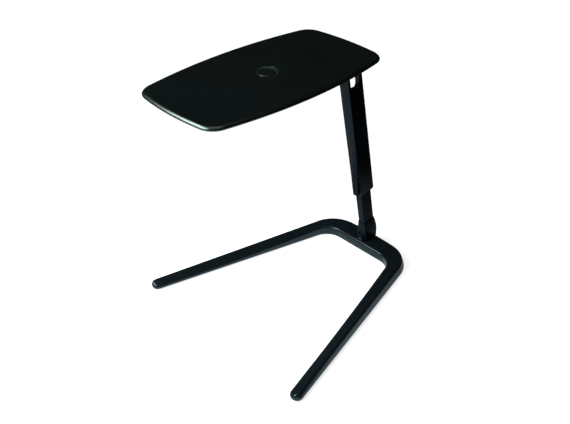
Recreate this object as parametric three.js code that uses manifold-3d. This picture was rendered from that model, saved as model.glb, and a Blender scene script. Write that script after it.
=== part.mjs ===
// Pull-up table: a bowed worktop carried at its rear end by one leaning column,
// which stands on the crossbar of a V-shaped base. Millimetres, +Z up.
// X runs along the crossbar, -Y points to where the user sits, the floor is at zero.
import * as THREE from "three";
import { mergeVertices } from "three/addons/utils/BufferGeometryUtils.js";
import Module from "manifold-3d";

const wasm = await Module();
wasm.setup();

// Clearances shared by all pieces
const gap = 0.3;
const looseGap = 0.6;
const swingGap = 1.2;
const overrun = 2;
const weldGap = 1e-4;

// Worktop
const topHeight = 720;
const topThickness = 15;
const topLength = 558;
const topWidth = 311;
const topRearY = 193.3;
const longSideBow = 31.5;
const shortSideBow = 18;
const topCornerRadius = 46;
const topEdgeRadius = 3.5;
const underEdgeRadius = 8;

// Base frame in plan and in section
const innerCornerX = 125;
const innerCornerY = 292;
const innerCornerRadius = 54;
const outerCornerX = 154;
const outerCornerY = 361.5;
const outerCornerRadius = 98.6;
const rearBow = 2.6;
const tipX = 290;
const tipY = -263;
const tipWidth = 36;
const barHeight = 34.3;
const innerTipHeight = 17;
const innerSag = 4.2;
const outerTipHeight = 24;
const ridgeInsetAtBar = 5.8;
const ridgeInsetAtTip = 3.5;
const edgeSoftness = 8.8;
const floorClearance = 1;
const creaseEndShare = 0.12;
const cornerCreaseShare = 0.55;
const tipCloseShare = 0.97;

// Glides under the base
const glideHeight = 3.2;
const tipGlideRadius = 8;
const rearGlideRadius = 12;
const rearGlideX = 131;
const rearGlideY = 322;

// Hinge between base and column
const hingeY = 302.5;
const hingeRise = 8.7;
const baseLugRadius = 8.1;
const baseLugHalfWidth = 4;
const baseLugStalkHalf = 6;
const hingePlateHalfWidth = 14;
const hingePlateThickness = 4;
const hingePlateRear = 50;
const hingePlateFront = 3.5;
const pinRadius = 3.5;
const washerThickness = 1;
const washerRadius = 7.4;
const footKnuckleRadius = 8.3;
const footBarrelHalf = 9.8;
const apronBend = 5;
const footHalfWidth = 17.6;
const pinRecess = 0.6;
const plateScrewRadius = 3;
const plateScrewHeadRadius = 5;
const plateScrewHeadHeight = 4;
const plateScrewHeadZ = 18;
const plateScrewPlaces = [19, 38];

// Column, measured across and along its lean from the base hinge
const leanAngle = 12.1;
const postHalfWidth = 11.75;
const postFront = 8.2;
const postRear = 50;
const postWall = 2.5;
const postCorner = 2.2;
const postBottom = 16;
const sliderHeight = 22;
const footTop = 61.5;
const footCorner = 3.4;
const footRearCorner = 5;
const footWidthShares = [1.0, 1.015, 0.985, 0.885, 0.755];
const footWidthPlaces = [-16, 14, 26, 45, 61.5];
const footFronts = [1.6, 1.8, 3, 5.4, 6.9];
const footRears = [50, 55.2, 55.4, 54.2, 51];
const setScrewRadius = 3;
const setScrewPlace = 34;
const setScrewLength = 3.6;

// Sleeve that slides on the post
const sleeveHalfWidth = 15.6;
const sleeveFront = 5.3;
const sleeveRear = 65;
const sleeveRearBelow = 67;
const sleeveRearFlat = 0.6;
const sleeveSideWall = 2.3;
const sleeveFrontWall = 1.7;
const sleeveRearWall = 3.3;
const sleeveCorner = 2.4;
const sleeveBottom = 177;
const sleeveTopDrop = 150.5;
const sleeveCrown = 18;
const heightTravel = 90;
const linerHeight = 28;
const linerInset = 8;

// Front cover, ending below in a lip and above in the head hinge
const coverBack = 5;
const coverLipHalfWidth = 8;
const coverHalfWidth = 17.4;
const coverFront = 2.4;
const coverLipFront = -5.8;
const coverEdge = 1.8;
const coverBottom = 182;
const coverWidthShares = [0.07, 0.18, 0.55, 0.745, 0.895, 0.96, 1, 1];
const coverLipShares = [0.92, 0.79, 0.32, 0.12, 0, 0, 0, 0];
const coverPlaceShares = [0, 0.0376, 0.1545, 0.2463, 0.3507, 0.5594, 0.7389, 1];
const headPlateThickness = 7.5;
const headTaper = 14;

// Hinge between column and worktop
const headPinAcross = 3;
const headPinDrop = 30;
const headKnuckleRadius = 7.5;
const headKnuckleInner = 8.4;
const headSlotDepth = 12;
const headLugThickness = 6;
const headLugRadius = 9;

// Bracket under the worktop
const bracketPlate = 4;
const bracketDepth = 11;
const bracketPadHalfWidth = 32;
const bracketSpineHalfWidth = 16;
const bracketRibHalfWidth = 11;
const bracketTail = 18;
const bracketRearPad = 58;
const buttonPadFront = 36;
const buttonPadRear = 54;
const bracketCorner = 9;
const rearScrewPlace = 44;
const frontScrewPlace = 42;
const bracketScrewX = 25;
const bracketScrewRadius = 2;
const bracketScrewHeadRadius = 4;
const bracketScrewHeadHeight = 2.2;
const bracketScrewLength = 12;

// Release bar that runs from the button to the keeper
const barHalfWidth = 6;
const barThickness = 4;
const barFloor = 1.5;
const barFrontEnd = 14;
const barWindowRear = 9;
const barWindowHalfWidth = 4.6;
const barStroke = 4.5;
const releaseSpringLength = 13;
const releaseSpringRadius = 1.5;
const releaseSpringWire = 0.35;
const releaseSpringTurns = 5;

// Push button and its ring
const buttonRadius = 20;
const buttonDrop = 1;
const buttonDish = 0.8;
const buttonCrown = 3;
const buttonSkirtWall = 3;
const buttonFlangeRadius = 21.7;
const buttonFlangeHeight = 2;
const buttonSkirt = 8.6;
const buttonStroke = 3;
const buttonEdge = 1.4;
const edgeBreakShare = 0.33;
const dishTurnShare = 0.55;
const dishDepthShare = 0.7;
const ringRadius = 29.4;
const ringFlange = 3.8;
const ringDish = 2.6;
const ringInsetShares = [0.12, 0.3, 0.6];
const ringDipShares = [0, 0.45, 0.86];
const ringCollarRadius = 23.7;
const ringCollarWall = 1.5;
const ringCollarHeight = 13.5;
const buttonBoreRadius = 24;
const stemHalfWidth = 4;
const stemRear = 4;
const stemFront = 7;
const wedgeToe = 1;
const wedgeRise = 4;
const wedgeToeAboveBar = 1.7;
const buttonSpringRadius = 11;
const buttonSpringWire = 0.6;
const buttonSpringTurns = 3;

// Keeper arm at the rear of the sleeve
const armHalfWidth = 10.3;
const armFront = 54.5;
const armRoot = 25;
const armBendDrop = 70;
const armFrontHighDrop = 80;
const armFillet = 15;
const notchReach = 11;
const notchRise = 24;
const shoulderRise = 22;
const keeperJaw = 4.4;
const keeperMouth = 8;
const keeperLength = 16;
const keeperLowerJaw = 8;

// Facets
const topLongSteps = 15;
const topShortSteps = 8;
const topCornerSteps = 7;
const rimSteps = 4;
const frameBarSteps = 5;
const frameArcSteps = 9;
const frameLegSteps = 7;
const frameTipSteps = 7;
const sectionSteps = 4;
const cornerSteps = 3;
const rearSteps = 6;
const pinSegments = 22;
const roundSegments = 36;
const buttonSegments = 42;
const springSides = 5;
const springStepsPerTurn = 8;

// Derived places
const lean = THREE.MathUtils.degToRad(leanAngle);
const hingeZ = barHeight + hingeRise;
const topCentreY = topRearY - topLength / 2;
const underside = topHeight - topThickness;
const sleeveTopZ = topHeight - sleeveTopDrop;
const sleeveRoof = heightToAlong(sleeveTopZ, sleeveRear) - sleeveCrown;
const postTop = sleeveRoof - heightTravel - looseGap;
const headPinZ = topHeight - headPinDrop;
const headPinAlong = heightToAlong(headPinZ, headPinAcross);
const headPinY = acrossToY(headPinAcross, headPinZ);
const bracketTop = underside - gap;
const bracketBottom = bracketTop - bracketDepth;
const barBottom = bracketBottom + barFloor + gap;
const barTop = barBottom + barThickness;
const buttonTop = topHeight - buttonDrop;
const buttonUnder = buttonTop - buttonCrown;
const bracketEnd = headPinY + bracketTail;
const sleeveCavityHalf = sleeveHalfWidth - sleeveSideWall;
const sleeveCavityFront = sleeveFront + sleeveFrontWall;
const sleeveCavityRear = sleeveRear - sleeveRearWall;
const headLugInner = coverHalfWidth + gap + washerThickness + gap;
const headLugOuter = headLugInner + headLugThickness;
const footKnuckleInner = baseLugHalfWidth + gap + washerThickness + gap;
const basePinEnd = footBarrelHalf - pinRecess;

// Paints and plastics
const satinBlack = { color: 0x141817, roughness: 0.38, metalness: 0.35 };
const softBlack = { color: 0x1b1e1d, roughness: 0.55, metalness: 0.1 };
const nylon = { color: 0x2a2b2b, roughness: 0.6, metalness: 0 };
const steel = { color: 0x8f9293, roughness: 0.3, metalness: 1 };
const rubber = { color: 0x101010, roughness: 0.9, metalness: 0 };

const table = new THREE.Group();

// Turns a closed geometry into a solid that can be joined and cut.
function solidOf(geometry) {
  const bare = geometry.index ? geometry.toNonIndexed() : geometry.clone();
  bare.deleteAttribute("normal");
  bare.deleteAttribute("uv");
  const merged = mergeVertices(bare, weldGap);
  return new wasm.Manifold(
    new wasm.Mesh({
      numProp: 3,
      vertProperties: merged.attributes.position.array,
      triVerts: new Uint32Array(merged.index.array),
    }),
  );
}

// Adds a solid to the table as one named mesh with its own material.
function addPiece(name, solid, finish) {
  const { vertProperties, triVerts } = solid.getMesh();
  const geometry = new THREE.BufferGeometry();
  geometry.setAttribute("position", new THREE.BufferAttribute(vertProperties, 3));
  geometry.setIndex(new THREE.BufferAttribute(triVerts, 1));
  geometry.computeVertexNormals();
  const mesh = new THREE.Mesh(geometry, new THREE.MeshStandardMaterial(finish));
  mesh.name = name;
  table.add(mesh);
}

function joined(first, ...others) {
  return others.reduce((sum, other) => sum.add(other), first);
}

function cutFrom(first, ...cutters) {
  return cutters.reduce((rest, cutter) => rest.subtract(cutter), first);
}

// A box between two corners.
function block(x0, x1, y0, y1, z0, z1) {
  const box = new THREE.BoxGeometry(x1 - x0, y1 - y0, z1 - z0);
  return box.translate((x0 + x1) / 2, (y0 + y1) / 2, (z0 + z1) / 2);
}

// A round bar along X between two places.
function crossRod(radius, x0, x1, y, z, segments = pinSegments) {
  const rod = new THREE.CylinderGeometry(radius, radius, x1 - x0, segments);
  return rod.rotateZ(Math.PI / 2).translate((x0 + x1) / 2, y, z);
}

// A round bar along Z between two heights.
function uprightRod(radius, x, y, z0, z1, segments = pinSegments) {
  const rod = new THREE.CylinderGeometry(radius, radius, z1 - z0, segments);
  return rod.rotateX(Math.PI / 2).translate(x, y, (z0 + z1) / 2);
}

// A body of revolution about the upright through x and y.
function turned(profile, x, y, segments) {
  const points = profile.map(([radius, height]) => new THREE.Vector2(radius, height));
  return new THREE.LatheGeometry(points, segments).rotateX(Math.PI / 2).translate(x, y, 0);
}

// A plan outline raised from one height to another.
function raised(outline, z0, z1) {
  const shape = new THREE.Shape(outline);
  const options = { depth: z1 - z0, bevelEnabled: false };
  return new THREE.ExtrudeGeometry(shape, options).translate(0, 0, z0);
}

// A profile drawn in Y and Z, given thickness from x0 to x1.
function sideways(shape, x0, x1, steps) {
  const options = { depth: x1 - x0, bevelEnabled: false, curveSegments: steps };
  const turn = new THREE.Matrix4().makeBasis(
    new THREE.Vector3(0, 1, 0),
    new THREE.Vector3(0, 0, 1),
    new THREE.Vector3(1, 0, 0),
  );
  return new THREE.ExtrudeGeometry(shape, options).applyMatrix4(turn).translate(x0, 0, 0);
}

// Skins a row of closed rings with equal numbers of points, and closes both ends.
function loft(rings) {
  const count = rings[0].length;
  const positions = [];
  const index = [];
  rings.forEach((ring) => ring.forEach((p) => positions.push(p.x, p.y, p.z)));
  for (let i = 0; i < rings.length - 1; i += 1) {
    for (let j = 0; j < count; j += 1) {
      const a = i * count + j;
      const b = i * count + ((j + 1) % count);
      index.push(a, b, b + count, a, b + count, a + count);
    }
  }
  const ends = [rings[0], rings[rings.length - 1]];
  ends.forEach((ring, end) => {
    const middle = new THREE.Vector3();
    ring.forEach((p) => middle.addScaledVector(p, 1 / count));
    const hub = positions.length / 3;
    positions.push(middle.x, middle.y, middle.z);
    const first = end === 0 ? 0 : (rings.length - 1) * count;
    for (let j = 0; j < count; j += 1) {
      const a = first + j;
      const b = first + ((j + 1) % count);
      if (end === 0) index.push(hub, b, a);
      else index.push(hub, a, b);
    }
  });
  const geometry = new THREE.BufferGeometry();
  geometry.setAttribute("position", new THREE.Float32BufferAttribute(positions, 3));
  geometry.setIndex(index);
  return geometry;
}

// Moves a geometry from the column's own frame, across as Y and along as Z, to the part's.
function leaned(geometry) {
  return geometry.rotateX(lean).translate(0, hingeY, hingeZ);
}

// The four bowed sides and rounded corners of the worktop, drawn in by an inset.
function bowedOutline(inset) {
  const halfLength = topLength / 2;
  const halfWidth = topWidth / 2;
  const longRadius = (halfLength ** 2 + longSideBow ** 2) / (2 * longSideBow);
  const shortRadius = (halfWidth ** 2 + shortSideBow ** 2) / (2 * shortSideBow);
  const longCentre = halfWidth - longRadius;
  const shortCentre = halfLength - shortRadius;
  const innerLong = longRadius - topCornerRadius;
  const innerShort = shortRadius - topCornerRadius;
  let x = halfWidth - topCornerRadius;
  let y = halfLength - topCornerRadius;
  for (let i = 0; i < 40; i += 1) {
    x = longCentre + Math.sqrt(innerLong ** 2 - y ** 2);
    y = shortCentre + Math.sqrt(innerShort ** 2 - x ** 2);
  }
  const longAngle = Math.asin(y / innerLong);
  const shortAngle = Math.asin(x / innerShort);
  const points = [];
  const sweep = (cx, cy, radius, from, to, steps) => {
    for (let i = 0; i < steps; i += 1) {
      const angle = from + ((to - from) * i) / steps;
      const reach = radius - inset;
      const px = cx + reach * Math.cos(angle);
      points.push(new THREE.Vector2(px, cy + reach * Math.sin(angle) + topCentreY));
    }
  };
  const up = Math.PI / 2;
  sweep(longCentre, 0, longRadius, -longAngle, longAngle, topLongSteps);
  sweep(x, y, topCornerRadius, longAngle, up - shortAngle, topCornerSteps);
  sweep(0, shortCentre, shortRadius, up - shortAngle, up + shortAngle, topShortSteps);
  sweep(-x, y, topCornerRadius, up + shortAngle, 2 * up - longAngle, topCornerSteps);
  sweep(-longCentre, 0, longRadius, 2 * up - longAngle, 2 * up + longAngle, topLongSteps);
  sweep(-x, -y, topCornerRadius, 2 * up + longAngle, 3 * up - shortAngle, topCornerSteps);
  sweep(0, -shortCentre, shortRadius, 3 * up - shortAngle, 3 * up + shortAngle, topShortSteps);
  sweep(x, -y, topCornerRadius, 3 * up + shortAngle, 4 * up - longAngle, topCornerSteps);
  return points;
}

function makeWorktop() {
  const rings = [];
  const addRing = (inset, z) =>
    rings.push(bowedOutline(inset).map((p) => new THREE.Vector3(p.x, p.y, z)));
  for (let i = 0; i <= rimSteps; i += 1) {
    const angle = (i / rimSteps) * (Math.PI / 2);
    const inset = underEdgeRadius * (1 - Math.sin(angle));
    addRing(inset, underside + underEdgeRadius * (1 - Math.cos(angle)));
  }
  for (let i = 0; i <= rimSteps; i += 1) {
    const angle = (i / rimSteps) * (Math.PI / 2);
    const inset = topEdgeRadius * (1 - Math.cos(angle));
    addRing(inset, topHeight - topEdgeRadius * (1 - Math.sin(angle)));
  }
  const plate = solidOf(loft(rings));
  const seat = topHeight - ringFlange - gap;
  const above = topHeight + overrun;
  const below = underside - overrun;
  const bore = uprightRod(buttonBoreRadius, 0, topCentreY, below, above, buttonSegments);
  const step = uprightRod(ringRadius + gap, 0, topCentreY, seat, above, buttonSegments);
  const pilots = bracketScrewSpots().map(([x, y]) => {
    const depth = bracketTop - bracketPlate + bracketScrewLength + gap;
    return solidOf(uprightRod(bracketScrewRadius + gap, x, y, below, depth));
  });
  addPiece("worktop", cutFrom(plate, solidOf(bore), solidOf(step), ...pilots), satinBlack);
}

// One half of a plan line of the base: crossbar, rounded corner, straight leg.
function halfLine(cornerX, cornerY, endX, endY, radius, bow) {
  const corner = new THREE.Vector2(cornerX, cornerY);
  const end = new THREE.Vector2(endX, endY);
  const along = end.clone().sub(corner).normalize();
  const inward = new THREE.Vector2(-1, 0);
  const angle = Math.acos(along.dot(inward));
  const reach = radius / Math.tan(angle / 2);
  const start = corner.clone().addScaledVector(inward, reach);
  const finish = corner.clone().addScaledVector(along, reach);
  const bisector = along.clone().add(inward).normalize();
  const centre = corner.clone().addScaledVector(bisector, radius / Math.sin(angle / 2));
  const from = Math.atan2(start.y - centre.y, start.x - centre.x);
  const to = Math.atan2(finish.y - centre.y, finish.x - centre.x);
  const points = [];
  for (let i = 0; i < frameBarSteps; i += 1) {
    const share = i / frameBarSteps;
    const y = cornerY + bow * (1 - share ** 2);
    points.push(new THREE.Vector2(start.x * share, y));
  }
  for (let i = 0; i <= frameArcSteps; i += 1) {
    const turn = from + ((to - from) * i) / frameArcSteps;
    const x = centre.x + radius * Math.cos(turn);
    points.push(new THREE.Vector2(x, centre.y + radius * Math.sin(turn)));
  }
  for (let i = 1; i <= frameLegSteps; i += 1) {
    points.push(finish.clone().lerp(end, i / frameLegSteps));
  }
  return points;
}

// The places along the right half of the base where its section is drawn.
function framePlaces() {
  const tip = new THREE.Vector2(tipX, tipY);
  const cornerX = (innerCornerX + outerCornerX) / 2;
  const cornerY = (innerCornerY + outerCornerY) / 2;
  const along = tip.clone().sub(new THREE.Vector2(cornerX, cornerY)).normalize();
  const across = new THREE.Vector2(-along.y, along.x);
  const half = tipWidth / 2;
  const innerEnd = tip.clone().addScaledVector(across, -half);
  const outerEnd = tip.clone().addScaledVector(across, half);
  const { x: ix, y: iy } = innerEnd;
  const { x: ox, y: oy } = outerEnd;
  const inner = halfLine(innerCornerX, innerCornerY, ix, iy, innerCornerRadius, 0);
  const outer = halfLine(outerCornerX, outerCornerY, ox, oy, outerCornerRadius, rearBow);
  const places = inner.map((start, i) => {
    const leg = Math.max(i - frameBarSteps - frameArcSteps, 0) / frameLegSteps;
    const arc = Math.min(Math.max(i - frameBarSteps, 0) / frameArcSteps, 1);
    const crease = arc * cornerCreaseShare + (1 - cornerCreaseShare) * (leg / creaseEndShare);
    const line = outer[i].clone().sub(start);
    const sag = innerSag * 4 * leg * (1 - leg);
    return {
      start,
      across: line.clone().normalize(),
      width: line.length(),
      innerHeight: THREE.MathUtils.lerp(barHeight, innerTipHeight, leg) - sag,
      outerHeight: THREE.MathUtils.lerp(barHeight, outerTipHeight, leg),
      ridge: THREE.MathUtils.lerp(ridgeInsetAtBar, ridgeInsetAtTip, leg),
      creaseShare: Math.min(crease, 1),
      softness: edgeSoftness,
      squeeze: 0,
    };
  });
  return { places, along };
}

// One section of the base: five soft corners around an inset outline.
function frameRing(place, bottom) {
  const { width, ridge, softness, edge, innerHeight, outerHeight } = place;
  const reach = edge === undefined ? softness : edge;
  const left = softness + place.squeeze;
  const right = width - softness - place.squeeze;
  const shoulder = Math.max(right - ridge, left);
  const crease = THREE.MathUtils.lerp(left, shoulder, place.creaseShare);
  const low = bottom + softness;
  const highInner = Math.max(innerHeight - softness, low + gap);
  const highOuter = outerHeight - softness;
  const wall = Math.atan2(right - shoulder, highOuter - low);
  const slope = Math.atan2(highOuter - highInner, Math.max(crease - left, gap));
  const quarter = Math.PI / 2;
  const ring = [];
  const corner = (s, z, from, to) => {
    for (let i = 0; i <= sectionSteps; i += 1) {
      const angle = from + ((to - from) * i) / sectionSteps;
      const across = s + reach * Math.cos(angle);
      const plan = place.start.clone().addScaledVector(place.across, across);
      ring.push(new THREE.Vector3(plan.x, plan.y, z + reach * Math.sin(angle)));
    }
  };
  corner(left, low, 2 * quarter, 3 * quarter);
  corner(right, low, 3 * quarter, 4 * quarter + wall);
  corner(shoulder, highOuter, wall, quarter);
  corner(crease, highOuter, quarter, quarter + slope);
  corner(left, highInner, quarter + slope, 2 * quarter);
  return ring;
}

// The rings that close a leg's round tip, while its two heights meet.
function tipRings(last, along) {
  const rings = [];
  const radius = tipWidth / 2;
  const half = radius - edgeSoftness;
  const middle = (last.innerHeight + last.outerHeight) / 2;
  for (let i = 1; i <= frameTipSteps; i += 1) {
    const angle = (i / frameTipSteps) * tipCloseShare * (Math.PI / 2);
    const distance = radius * Math.sin(angle);
    const beyond = Math.max(distance - half, 0);
    const edge = Math.sqrt(edgeSoftness ** 2 - beyond ** 2);
    const squeeze = half + edge - radius * Math.cos(angle);
    const share = squeeze / half;
    const place = {
      ...last,
      start: last.start.clone().addScaledVector(along, distance),
      edge,
      squeeze,
      ridge: last.ridge * (1 - share),
      innerHeight: THREE.MathUtils.lerp(last.innerHeight, middle, share),
      outerHeight: THREE.MathUtils.lerp(last.outerHeight, middle, share),
    };
    rings.push(frameRing(place, floorClearance));
  }
  return rings;
}

const mirrored = (ring) => ring.map((p) => new THREE.Vector3(-p.x, p.y, p.z));

function glideSpots() {
  return [
    ["glide_front_right", tipX, tipY, tipGlideRadius],
    ["glide_front_left", -tipX, tipY, tipGlideRadius],
    ["glide_rear_right", rearGlideX, rearGlideY, rearGlideRadius],
    ["glide_rear_left", -rearGlideX, rearGlideY, rearGlideRadius],
  ];
}

function makeBase() {
  const { places, along } = framePlaces();
  const right = places.map((place) => frameRing(place, floorClearance));
  right.push(...tipRings(places[places.length - 1], along));
  const left = right.slice(1).reverse().map(mirrored);
  let frame = solidOf(loft([...left, ...right]));
  const plateSeat = block(
    -hingePlateHalfWidth - gap,
    hingePlateHalfWidth + gap,
    hingeY - hingePlateFront - gap,
    hingeY + hingePlateRear + gap,
    barHeight - hingePlateThickness - gap,
    barHeight + overrun,
  );
  frame = cutFrom(frame, solidOf(plateSeat));
  plateScrewPlaces.forEach((place) => {
    const y = hingeY + place;
    const shelf = plateScrewHeadZ + plateScrewHeadHeight + gap;
    const bore = uprightRod(plateScrewRadius + gap, 0, y, shelf - gap, barHeight);
    const sink = uprightRod(plateScrewHeadRadius + gap, 0, y, -overrun, shelf);
    frame = cutFrom(frame, solidOf(bore), solidOf(sink));
  });
  glideSpots().forEach(([, x, y, radius]) => {
    const pocket = uprightRod(radius + gap, x, y, -overrun, glideHeight + gap);
    frame = cutFrom(frame, solidOf(pocket));
  });
  addPiece("base_frame", frame, satinBlack);
  glideSpots().forEach(([name, x, y, radius]) => {
    addPiece(name, solidOf(uprightRod(radius, x, y, 0, glideHeight)), rubber);
  });
}

// The plate let into the crossbar, with the fixed knuckle of the base hinge.
function makeHingePlate() {
  const plate = block(
    -hingePlateHalfWidth,
    hingePlateHalfWidth,
    hingeY - hingePlateFront,
    hingeY + hingePlateRear,
    barHeight - hingePlateThickness,
    barHeight,
  );
  const half = baseLugHalfWidth;
  const eye = crossRod(baseLugRadius, -half, half, hingeY, hingeZ, roundSegments);
  const stalk = block(
    -half,
    half,
    hingeY - hingePlateFront,
    hingeY + baseLugStalkHalf,
    barHeight - hingePlateThickness,
    hingeZ,
  );
  const reach = half + overrun;
  const bore = crossRod(pinRadius + gap, -reach, reach, hingeY, hingeZ);
  let hinge = cutFrom(joined(solidOf(plate), solidOf(eye), solidOf(stalk)), solidOf(bore));
  plateScrewPlaces.forEach((place, i) => {
    const y = hingeY + place;
    const low = barHeight - hingePlateThickness - overrun;
    const thread = uprightRod(plateScrewRadius + gap, 0, y, low, barHeight + overrun);
    hinge = cutFrom(hinge, solidOf(thread));
    const neck = plateScrewHeadZ + plateScrewHeadHeight;
    const head = uprightRod(plateScrewHeadRadius, 0, y, plateScrewHeadZ, neck);
    const shank = uprightRod(plateScrewRadius, 0, y, plateScrewHeadZ, barHeight - gap);
    addPiece(`hinge_plate_screw_${i + 1}`, joined(solidOf(head), solidOf(shank)), steel);
  });
  addPiece("hinge_plate", hinge, softBlack);
  const pin = crossRod(pinRadius, -basePinEnd, basePinEnd, hingeY, hingeZ);
  addPiece("base_pin", solidOf(pin), steel);
  addWasher("base_washer_right", half + gap, 1, hingeY, hingeZ);
  addWasher("base_washer_left", half + gap, -1, hingeY, hingeZ);
}

// A thrust washer on a hinge pin, on the side given by the sign.
function addWasher(name, inner, side, y, z) {
  const from = side > 0 ? inner : -inner - washerThickness;
  const to = from + washerThickness;
  const disc = crossRod(washerRadius, from, to, y, z);
  const hole = crossRod(pinRadius + gap, from - overrun, to + overrun, y, z);
  addPiece(name, cutFrom(solidOf(disc), solidOf(hole)), nylon);
}

// A rectangle across the column with a rounded front and rear, at one place along it.
function columnRing(half, front, rear, frontCorner, rearCorner, along, steps = cornerSteps) {
  const ring = [];
  const corner = (x, y, radius, from) => {
    for (let i = 0; i <= steps; i += 1) {
      const angle = from + (i / steps) * (Math.PI / 2);
      const px = x + radius * Math.cos(angle);
      ring.push(new THREE.Vector3(px, y + radius * Math.sin(angle), along));
    }
  };
  const quarter = Math.PI / 2;
  corner(half - frontCorner, front + frontCorner, frontCorner, -quarter);
  corner(half - rearCorner, rear - rearCorner, rearCorner, 0);
  corner(rearCorner - half, rear - rearCorner, rearCorner, quarter);
  corner(frontCorner - half, front + frontCorner, frontCorner, 2 * quarter);
  return ring;
}

// A straight length of one column section.
function columnBar(half, front, rear, radius, from, to) {
  const ends = [from, to].map((along) => columnRing(half, front, rear, radius, radius, along));
  return leaned(loft(ends));
}

// A length of the sleeve's section, whose rear is nearly half round.
function sleeveBar(half, front, rears, radius, from, to) {
  const round = half - sleeveRearFlat;
  const ends = [from, to].map((along, i) =>
    columnRing(half, front, rears[i], radius, round, along, rearSteps),
  );
  return leaned(loft(ends));
}

// Everything above or below a level, used to cut the leaning pieces flat.
function slab(from, to) {
  const reach = topLength;
  return solidOf(block(-reach, reach, hingeY - reach, hingeY + reach, from, to));
}

function makeFoot() {
  const rings = footWidthPlaces.map((along, i) =>
    columnRing(
      footHalfWidth * footWidthShares[i],
      footFronts[i],
      footRears[i],
      footCorner,
      footRearCorner,
      along,
    ),
  );
  const half = footBarrelHalf;
  const barrel = crossRod(footKnuckleRadius, -half, half, hingeY, hingeZ, roundSegments);
  const side = new THREE.Shape();
  side.moveTo(postFront, 0);
  side.lineTo(postFront, footWidthPlaces[2]);
  side.lineTo(footFronts[2] + gap, footWidthPlaces[2]);
  side.quadraticCurveTo(-footKnuckleRadius, apronBend, -footKnuckleRadius, 0);
  const apron = leaned(sideways(side, -half, half, rimSteps * 2));
  const socket = columnBar(
    postHalfWidth + gap,
    postFront - gap,
    postRear + gap,
    postCorner,
    postBottom - gap,
    footTop + overrun,
  );
  const inner = footKnuckleInner;
  const clear = baseLugRadius + looseGap;
  const throat = crossRod(clear, -inner, inner, hingeY, hingeZ, roundSegments);
  const stalkRoom = block(-inner, inner, hingeY - clear, hingeY + clear, barHeight, hingeZ);
  const reach = half + overrun;
  const bore = crossRod(pinRadius + gap, -reach, reach, hingeY, hingeZ);
  const screwHole = new THREE.CylinderGeometry(
    setScrewRadius + gap,
    setScrewRadius + gap,
    footRears[1] - postRear + 2 * overrun,
    pinSegments,
  ).translate(0, (footRears[1] + postRear) / 2, setScrewPlace);
  let foot = joined(solidOf(leaned(loft(rings))), solidOf(barrel), solidOf(apron));
  foot = cutFrom(foot, slab(-topLength, barHeight + gap), solidOf(socket));
  foot = cutFrom(foot, solidOf(throat), solidOf(stalkRoom), solidOf(bore));
  foot = cutFrom(foot, solidOf(leaned(screwHole)));
  addPiece("foot", foot, satinBlack);
  const screw = new THREE.CylinderGeometry(
    setScrewRadius,
    setScrewRadius,
    setScrewLength,
    pinSegments,
  ).translate(0, postRear + gap + setScrewLength / 2, setScrewPlace);
  addPiece("foot_set_screw", solidOf(leaned(screw)), steel);
}

function makePost() {
  const outer = columnBar(
    postHalfWidth,
    postFront,
    postRear,
    postCorner,
    postBottom,
    postTop,
  );
  const bore = columnBar(
    postHalfWidth - postWall,
    postFront + postWall,
    postRear - postWall,
    postCorner / 2,
    postBottom - overrun,
    postTop + overrun,
  );
  addPiece("post", cutFrom(solidOf(outer), solidOf(bore)), satinBlack);
  addPiece("post_slider", runningRing(postTop - sliderHeight, postTop), nylon);
}

// A nylon ring that fills the room between post and sleeve.
function runningRing(from, to) {
  const rear = sleeveCavityRear - gap;
  const outer = sleeveBar(
    sleeveCavityHalf - gap,
    sleeveCavityFront + gap,
    [rear, rear],
    postCorner,
    from,
    to,
  );
  const inner = columnBar(
    postHalfWidth + gap,
    postFront - gap,
    postRear + gap,
    postCorner,
    from - overrun,
    to + overrun,
  );
  return cutFrom(solidOf(outer), solidOf(inner));
}

// A place across the column, at a given height, in the part's Y.
function acrossToY(across, z) {
  return hingeY + (across - (z - hingeZ) * Math.sin(lean)) / Math.cos(lean);
}

// A height in the part, on a line across the column, as a place along it.
function heightToAlong(z, across) {
  return (z - hingeZ - across * Math.sin(lean)) / Math.cos(lean);
}

// The side of the arm that rises from the sleeve's rear and hooks over the release bar.
function armSide() {
  const rootZ = sleeveTopZ - armRoot;
  const mouthY = bracketEnd + gap;
  const upperJaw = barTop + gap;
  const lowerJaw = barBottom - gap;
  const jawTop = upperJaw + keeperJaw;
  const jawFoot = lowerJaw - keeperLowerJaw;
  const bendZ = topHeight - armBendDrop;
  const frontHighZ = topHeight - armFrontHighDrop;
  const turnZ = jawTop - armFillet;
  const shape = new THREE.Shape();
  shape.moveTo(acrossToY(sleeveRear - sleeveCorner, rootZ), rootZ);
  shape.lineTo(acrossToY(sleeveRear, sleeveTopZ), sleeveTopZ);
  shape.lineTo(acrossToY(sleeveRear, bendZ), bendZ);
  shape.quadraticCurveTo(acrossToY(sleeveRear, turnZ), turnZ, mouthY + keeperLength, jawTop);
  shape.lineTo(mouthY, jawTop);
  shape.lineTo(mouthY, upperJaw);
  shape.lineTo(mouthY + keeperMouth, upperJaw);
  shape.lineTo(mouthY + keeperMouth, lowerJaw);
  shape.lineTo(mouthY, lowerJaw);
  shape.lineTo(mouthY, jawFoot);
  shape.lineTo(mouthY + armFillet, jawFoot);
  const underZ = lowerJaw - armFillet;
  const frontHighY = acrossToY(armFront, frontHighZ);
  shape.quadraticCurveTo(acrossToY(armFront, underZ), underZ, frontHighY, frontHighZ);
  const notchZ = sleeveTopZ + notchRise;
  const sill = sleeveTopZ - gap;
  shape.lineTo(acrossToY(armFront, notchZ), notchZ);
  const sillY = acrossToY(armFront - notchReach, sill);
  shape.quadraticCurveTo(acrossToY(armFront, sill), sill, sillY, sill);
  shape.lineTo(sillY, rootZ);
  return shape;
}

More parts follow.
